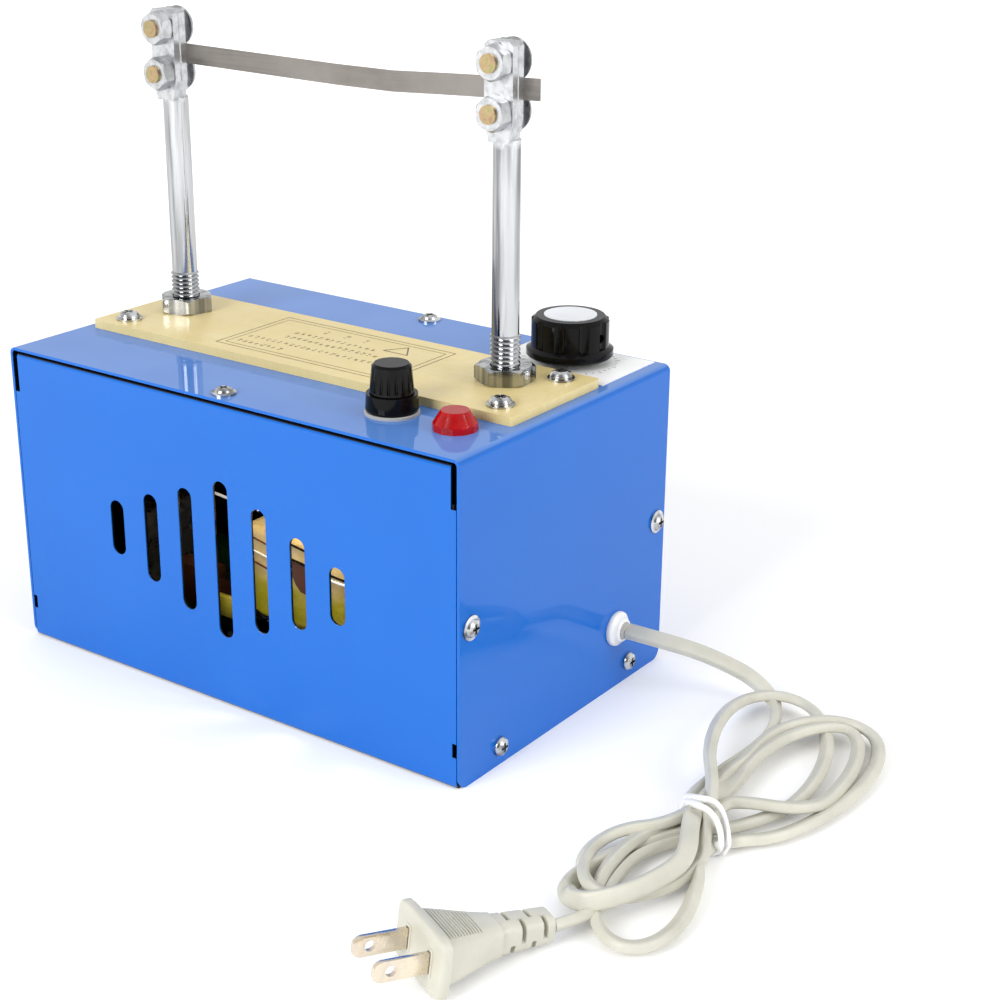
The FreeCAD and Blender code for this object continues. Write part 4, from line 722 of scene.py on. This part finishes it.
def plug_loft(name, stations, count=72):
    """A closed loft; each station is a place on the plug's axis, half sizes, squareness and a dent."""
    bm = bmesh.new()
    rings = []
    for along, half_wide, half_high, power, dent in stations:
        ring = []
        for y, z in oval(half_wide, half_high, count, power):
            sink = dent(y, z, half_wide, half_high) if dent else 1.0
            ring.append(bm.verts.new(PLUG_FRAME @ (Vector((along, y * sink, z * sink)) * MM)))
        rings.append(ring)
    skin(bm, rings)
    bm.faces.new(rings[0])
    bm.faces.new(rings[-1])
    return new_piece(name, bm, "cord_grey", smooth=38)


def rib_dent(along):
    """Fine cross ribs pressed into the grip's broad faces, between their margins."""
    phase = (along + 4.0) / 0.98 % 1.0
    inside = -15.8 < along < -4.2

    def dent(y, z, half_wide, half_high):
        across = min(1.0, max(0.0, (half_wide * 0.74 - abs(y)) / 0.5))
        facing = min(1.0, max(0.0, (abs(z) - half_high * 0.72) / (half_high * 0.12)))
        return 1 - (0.085 * across * facing * (1.0 if phase < 0.42 else 0.0) if inside else 0.0)
    return dent


def slot_dent(along):
    """Deep slots that let the strain relief flex, turned a quarter from one to the next."""
    centres = ((-26.0, "broad"), (-29.4, "narrow"), (-32.8, "broad"), (-36.2, "narrow"))
    kind = next((k for place, k in centres if abs(along - place) < 0.66), None)

    def dent(y, z, half_wide, half_high):
        if kind is None:
            return 1.0
        angle = math.degrees(math.atan2(z / half_high, y / half_wide))
        off = abs((angle - (122 if kind == "broad" else 32) + 90) % 180 - 90)
        return 0.6 if off < 38 else 1.0
    return dent


def make_plug():
    """Face plate with a soft rim, ribbed grip, slotted strain relief and two drilled pins."""
    plate = [(0.0, 12.6, 7.9, 7.0), (-0.1, 13.1, 8.5, 7.0), (-0.4, 13.4, 8.8, 7.2), (-0.9, 13.5, 8.9, 7.4),
             (-2.6, 13.5, 8.9, 7.4), (-3.0, 13.2, 8.6, 7.0), (-3.15, 12.2, 7.8, 6.6)]
    face = plug_loft("plug_face", [(*row, None) for row in plate])
    grip = []
    for along in (-2.6 - 0.14 * i for i in range(142)):
        share = min(1.0, max(0.0, (-along - 3) / 19.5))
        ease = share * share * (3 - 2 * share) * 0.45 + share * 0.55
        grip.append((along, 10.9 - 5.0 * ease, 7.3 - 2.3 * ease, 5.4 - 1.6 * share, rib_dent(along)))
    body = plug_loft("plug_grip", grip)
    relief = [(-21.8, 4.6, 4.2, 3.2, None), (-22.4, 5.2, 4.7, 3.4, None)]
    for i in range(112):
        along = -22.6 - 0.15 * i
        share = i / 111
        relief.append((along, 5.3 - 0.8 * share, 4.8 - 0.7 * share, 3.6, slot_dent(along)))
    relief += [(-39.5, 4.2, 3.8, 3.2, None), (-39.9, 3.4, 3.0, 2.8, None), (-40.0, 2.4, 2.2, 2.5, None)]
    boot = plug_loft("plug_boot", relief)
    for piece, node in ((face, "plug_body"), (body, "plug_body"), (boot, "plug_relief")):
        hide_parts(node)
    pieces = [face, body, boot]
    for name, side in (("pin_near", -PIN_PITCH / 2), ("pin_far", PIN_PITCH / 2)):
        pieces += make_pin(name, side)
    return pieces


def make_pin(name, side):
    """One flat pin with a rounded tip and a cross hole, and the moulded lip round its root."""
    outline = [(-2.0, -3.1), (14.0, -3.1), (15.2, -2.7), (16.0, -1.9), (16.3, -0.9), (16.3, 0.9), (16.0, 1.9),
               (15.2, 2.7), (14.0, 3.1), (-2.0, 3.1)]
    hole = [(PIN_HOLE_AT + x, y) for x, y in oval(PIN_HOLE_RADIUS, PIN_HOLE_RADIUS, 24, 2)]
    bm = bmesh.new()
    edges = []
    for loop in (outline, hole):
        ring = [bm.verts.new((x, 0, z)) for x, z in loop]
        edges += [bm.edges.new((ring[k], ring[(k + 1) % len(ring)])) for k in range(len(ring))]
    bmesh.ops.triangle_fill(bm, edges=edges, use_beauty=True)
    flat = list(bm.faces)
    grown = bmesh.ops.extrude_face_region(bm, geom=flat)
    moved = [v for v in grown["geom"] if isinstance(v, bmesh.types.BMVert)]
    bmesh.ops.translate(bm, vec=(0, PIN_THICK, 0), verts=moved)
    bmesh.ops.recalc_face_normals(bm, faces=bm.faces)
    rims = [e for e in bm.edges if len(e.link_faces) == 2 and e.calc_face_angle(0) > 0.6]
    bmesh.ops.bevel(bm, geom=rims, offset=0.22, segments=2, affect="EDGES", profile=0.6)
    for v in bm.verts:
        v.co = PLUG_FRAME @ ((v.co + Vector((0, side - PIN_THICK / 2, 0))) * MM)
    pin = new_piece(name, bm, "plug_brass", smooth=35)
    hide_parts("plug_pins")
    bm = bmesh.new()
    rings = []
    for along, wide, high in ((-0.4, 1.75, 4.2), (0.18, 1.7, 4.1), (0.3, 1.5, 3.9), (0.3, 1.0, 3.4),
                              (-0.4, 0.9, 3.3)):
        rings.append([bm.verts.new(PLUG_FRAME @ (Vector((along, side + y, z)) * MM))
                      for y, z in oval(wide, high, 32, 7)])
    skin(bm, rings)
    lip = new_piece(name + "_lip", bm, "cord_grey", smooth=40)
    return [pin, lip]


# ---------------------------------------------------------------- coil wrapping and bush

def rounded_block(bm, low, high, radius, segments=4):
    """A block with its edges rounded."""
    made = bmesh.ops.create_cube(bm, size=1.0)
    size = [b - a for a, b in zip(low, high)]
    middle = [(a + b) / 2 for a, b in zip(low, high)]
    for v in made["verts"]:
        v.co = Vector([c * k + m for c, k, m in zip(v.co, size, middle)]) * MM
    edges = list({e for v in made["verts"] for e in v.link_edges})
    bmesh.ops.bevel(bm, geom=edges, offset=radius * MM, segments=segments, affect="EDGES", profile=0.5)


# Where the winding's wrapping faces the vents.
COIL_FACE = -42
# Cords, edges and feet on the wrapping or beside it: finish, (x, z) line and radius.
COIL_LINES = {
    "coil_cord_white": ("label_film", [(24, 48.7), (40, 48.2), (61, 47.2)], 0.55),
    "terminal_edge": ("label_film", [(-25, 68.2), (-18, 67.6), (-11, 67.0)], 0.5),
    "coil_lap_upper": ("capacitor_film", [(-8, 56.6), (-1, 55.2), (8, 53.4)], 0.32),
    "coil_lap_middle": ("label_film", [(-8, 51.8), (-1, 50.5), (8, 49.0)], 0.28),
    "coil_lap_lower": ("capacitor_film", [(-8, 47.8), (-1, 46.3), (8, 44.6)], 0.36),
    "coil_lead_upper": ("black_plastic", [(9, 57.8), (16, 56.8), (24, 55.6)], 0.42),
    "coil_lead_lower": ("black_plastic", [(9, 52.4), (16, 51.5), (30, 50.0), (61, 48.4)], 0.42),
    "coil_foot_one": ("black_plastic", [(-7, 30.2), (-1, 27.6), (5, 25.0)], 0.6),
    "coil_foot_two": ("black_plastic", [(-7, 24.2), (-1, 26.0), (5, 27.4)], 0.6),
}


def make_coil_wrap():
    """What shows through the vents: the wrapped winding with its cords, a paper block and a brown strip."""
    bm = bmesh.new()
    rounded_block(bm, (-8, COIL_FACE, 26.5), (61, -25.4, 59.6), 2.4)
    new_piece("coil_wrap", bm, "coil_tape", smooth=40)
    for name, (finish, line, radius) in COIL_LINES.items():
        path = spline_points(name, [Vector((x, COIL_FACE - 0.2, z)) * MM for x, z in line], 6)
        section = [(a * MM, b * MM) for a, b in oval(radius, radius, 10, 2)]
        bm = bmesh.new()
        sweep(bm, path, section, lambda i, run: Vector((0, 1, 0)))
        new_piece(name, bm, finish, smooth=60)
    bm = bmesh.new()
    rounded_block(bm, (-26, -41, 21.1), (-10, -39, 29.2), 0.6)
    new_piece("coil_paper", bm, "coil_tape", smooth=40)
    bm = bmesh.new()
    leaf = [(12.2, 51.2), (21, 50.4), (21, 40.2), (17.8, 40.8), (15.8, 43), (14.2, 46), (13, 48.8)]
    rings = [[bm.verts.new(Vector((x, COIL_FACE + step, z)) * MM) for x, z in leaf] for step in (-0.3, 0.3)]
    skin(bm, rings)
    for ring in rings:
        bm.faces.new(ring)
    new_piece("coil_leaf", bm, "capacitor_film", smooth=40)


def lathe(bm, stations, centre, count=64):
    """Turns a closed outline of (along, radius) stations about an axis along X through the centre."""
    rings = []
    for along, radius in stations:
        rings.append([bm.verts.new((Vector(centre) + Vector((along, y, z))) * MM)
                      for y, z in oval(radius, radius, count, 2)])
    skin(bm, rings + rings[:1])


# Where the cord comes through the box's right wall.
BUSH_AT = (97.5, 30, 22.6)


def make_bush():
    """The cord's bush: a low rounded flange and a short tapered nose that hugs the cord."""
    bm = bmesh.new()
    outline = [(-4.5, 2.9), (-4.5, 5.2), (-2.2, 5.2), (-1.2, 4.5), (0.02, 4.5), (0.02, 6.05), (0.5, 6.2),
               (1.3, 6.1), (1.8, 5.6), (2.2, 4.7), (3.0, 4.3), (3.6, 3.9), (3.8, 3.3), (3.6, 2.9)]
    lathe(bm, outline, BUSH_AT)
    bush = new_piece("cord_bush", bm, "white_plastic", smooth=45)
    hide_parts("cord_grommet")
    return bush


# ---------------------------------------------------------------- printing and small parts

def flat_bar(bm, x0, y0, x1, y1, wide, low, high):
    """A thin raised bar of ink from one point to another."""
    run = Vector((x1 - x0, y1 - y0, 0))
    side = Vector((-run.y, run.x, 0)).normalized() * wide / 2
    ends = [Vector((x0, y0, 0)), Vector((x1, y1, 0))]
    corners = [ends[0] - side, ends[1] - side, ends[1] + side, ends[0] + side]
    lower = [bm.verts.new((c + Vector((0, 0, low))) * MM) for c in corners]
    upper = [bm.verts.new((c + Vector((0, 0, high))) * MM) for c in corners]
    bm.faces.new(lower[::-1])
    bm.faces.new(upper)
    for k in range(4):
        m = (k + 1) % 4
        bm.faces.new((lower[k], lower[m], upper[m], upper[k]))


def closed_line(bm, corners, wide, low, high):
    """Bars of ink round a polygon."""
    for one, other in zip(corners, corners[1:] + corners[:1]):
        flat_bar(bm, *one, *other, wide, low, high)


PRINT_MIDDLE_Y = -0.8
# Rows of the print: left end, right end, y, size of a mark and step from one mark to the next.
PRINT_ROWS = ((-14.5, 9.0, 11.2, 3.0, 9.0), (-22.5, 12.0, 4.8, 2.1, 2.625), (-22.5, 17.5, -0.6, 2.1, 2.625),
              (-33.0, 27.0, -7.4, 2.1, 2.625), (-33.0, -13.0, -13.4, 2.1, 2.625))


def make_board_print():
    """The board's printed panel: a double frame, an empty warning triangle and rows of short generic bars."""
    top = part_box("blade_board")[1].z / MM
    low, high = top - 0.02, top + 0.05
    bm = bmesh.new()
    for half_x, half_y, wide in ((37.6, 19.0, 0.34), (35.3, 16.7, 0.26)):
        front, back = PRINT_MIDDLE_Y - half_y, PRINT_MIDDLE_Y + half_y
        corners = [(-half_x, front), (half_x, front), (half_x, back), (-half_x, back)]
        closed_line(bm, corners, wide, low, high)
    closed_line(bm, [(15.4, 6.6), (25.6, 6.6), (20.5, 14.0)], 0.5, low, high)
    random.seed(7)
    for left, right, height, big, step in PRINT_ROWS:
        x = left
        while x < right:
            long = big * random.uniform(0.55, 0.95)
            for rise in random.sample((-0.8, -0.25, 0.3, 0.85), 3):
                start = x + random.uniform(0, 0.25) * long
                y = height + rise * big * 0.5
                flat_bar(bm, start, y, start + long * random.uniform(0.5, 0.8), y, 0.3, low, high)
            x += step
    new_piece("board_print", bm, PRINT_INK)


# The knob's centre, the scale round it and the label's front and back edges, in mm.
KNOB_X, KNOB_Y = 68.0, 42.4
TICK_RADIUS = 15.6
TICK_WIDE = 0.35
LABEL_FRONT, LABEL_BACK = 26.4, 58.0


def make_dial_print():
    """Scale ticks round the knob, printed on the label."""
    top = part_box("dial_label")[1].z / MM
    bm = bmesh.new()
    for k in range(31):
        angle = math.radians(225 - 9 * k)
        outer = TICK_RADIUS + (1.6 if k % 3 == 0 else 0.9)
        c, s = math.cos(angle), math.sin(angle)
        if not LABEL_FRONT <= KNOB_Y + outer * s <= LABEL_BACK:
            continue
        flat_bar(bm, KNOB_X + TICK_RADIUS * c, KNOB_Y + TICK_RADIUS * s,
                 KNOB_X + outer * c, KNOB_Y + outer * s, TICK_WIDE, top - 0.02, top + 0.03)
    new_piece("dial_ticks", bm, PRINT_INK)


def ink():
    """Dark brown printing, worn thin in places."""
    f = Finish("print_ink", (0.10, 0.08, 0.05), rough=0.45)
    f.colour(f.ramp(f.noise(500, 3), (0.35, (0.09, 0.07, 0.045)), (0.7, (0.26, 0.21, 0.12))))
    f.roughness(f.noise(200, 3), 0.4, 0.6)
    return f.relief(f.noise(900, 2), 0.00001).material


PRINT_INK = ink()


# ---------------------------------------------------------------- the scene

bpy.context.scene.view_settings.view_transform = "Standard"
make_camera()
make_world()
area_light("key", (-0.15, -1.65, 0.85), (0.03, 0, 0.06), 0.9, 27)
area_light("fill", (1.6, 0.1, 0.7), (0.03, 0, 0.06), 0.9, 12)
# A small warm light inside the box, so that the wrapping shows through the vents.
area_light("coil_glow", (0.034, -0.0515, 0.099), (0.022, -0.045, 0.04), 0.012, 0.045, (1.0, 0.86, 0.62))
make_floor()
dress_nodes()
cord, cord_path = make_cord()
tie = make_tie()
plug = make_plug()
bush = make_bush()
make_coil_wrap()
make_board_print()
make_dial_print()
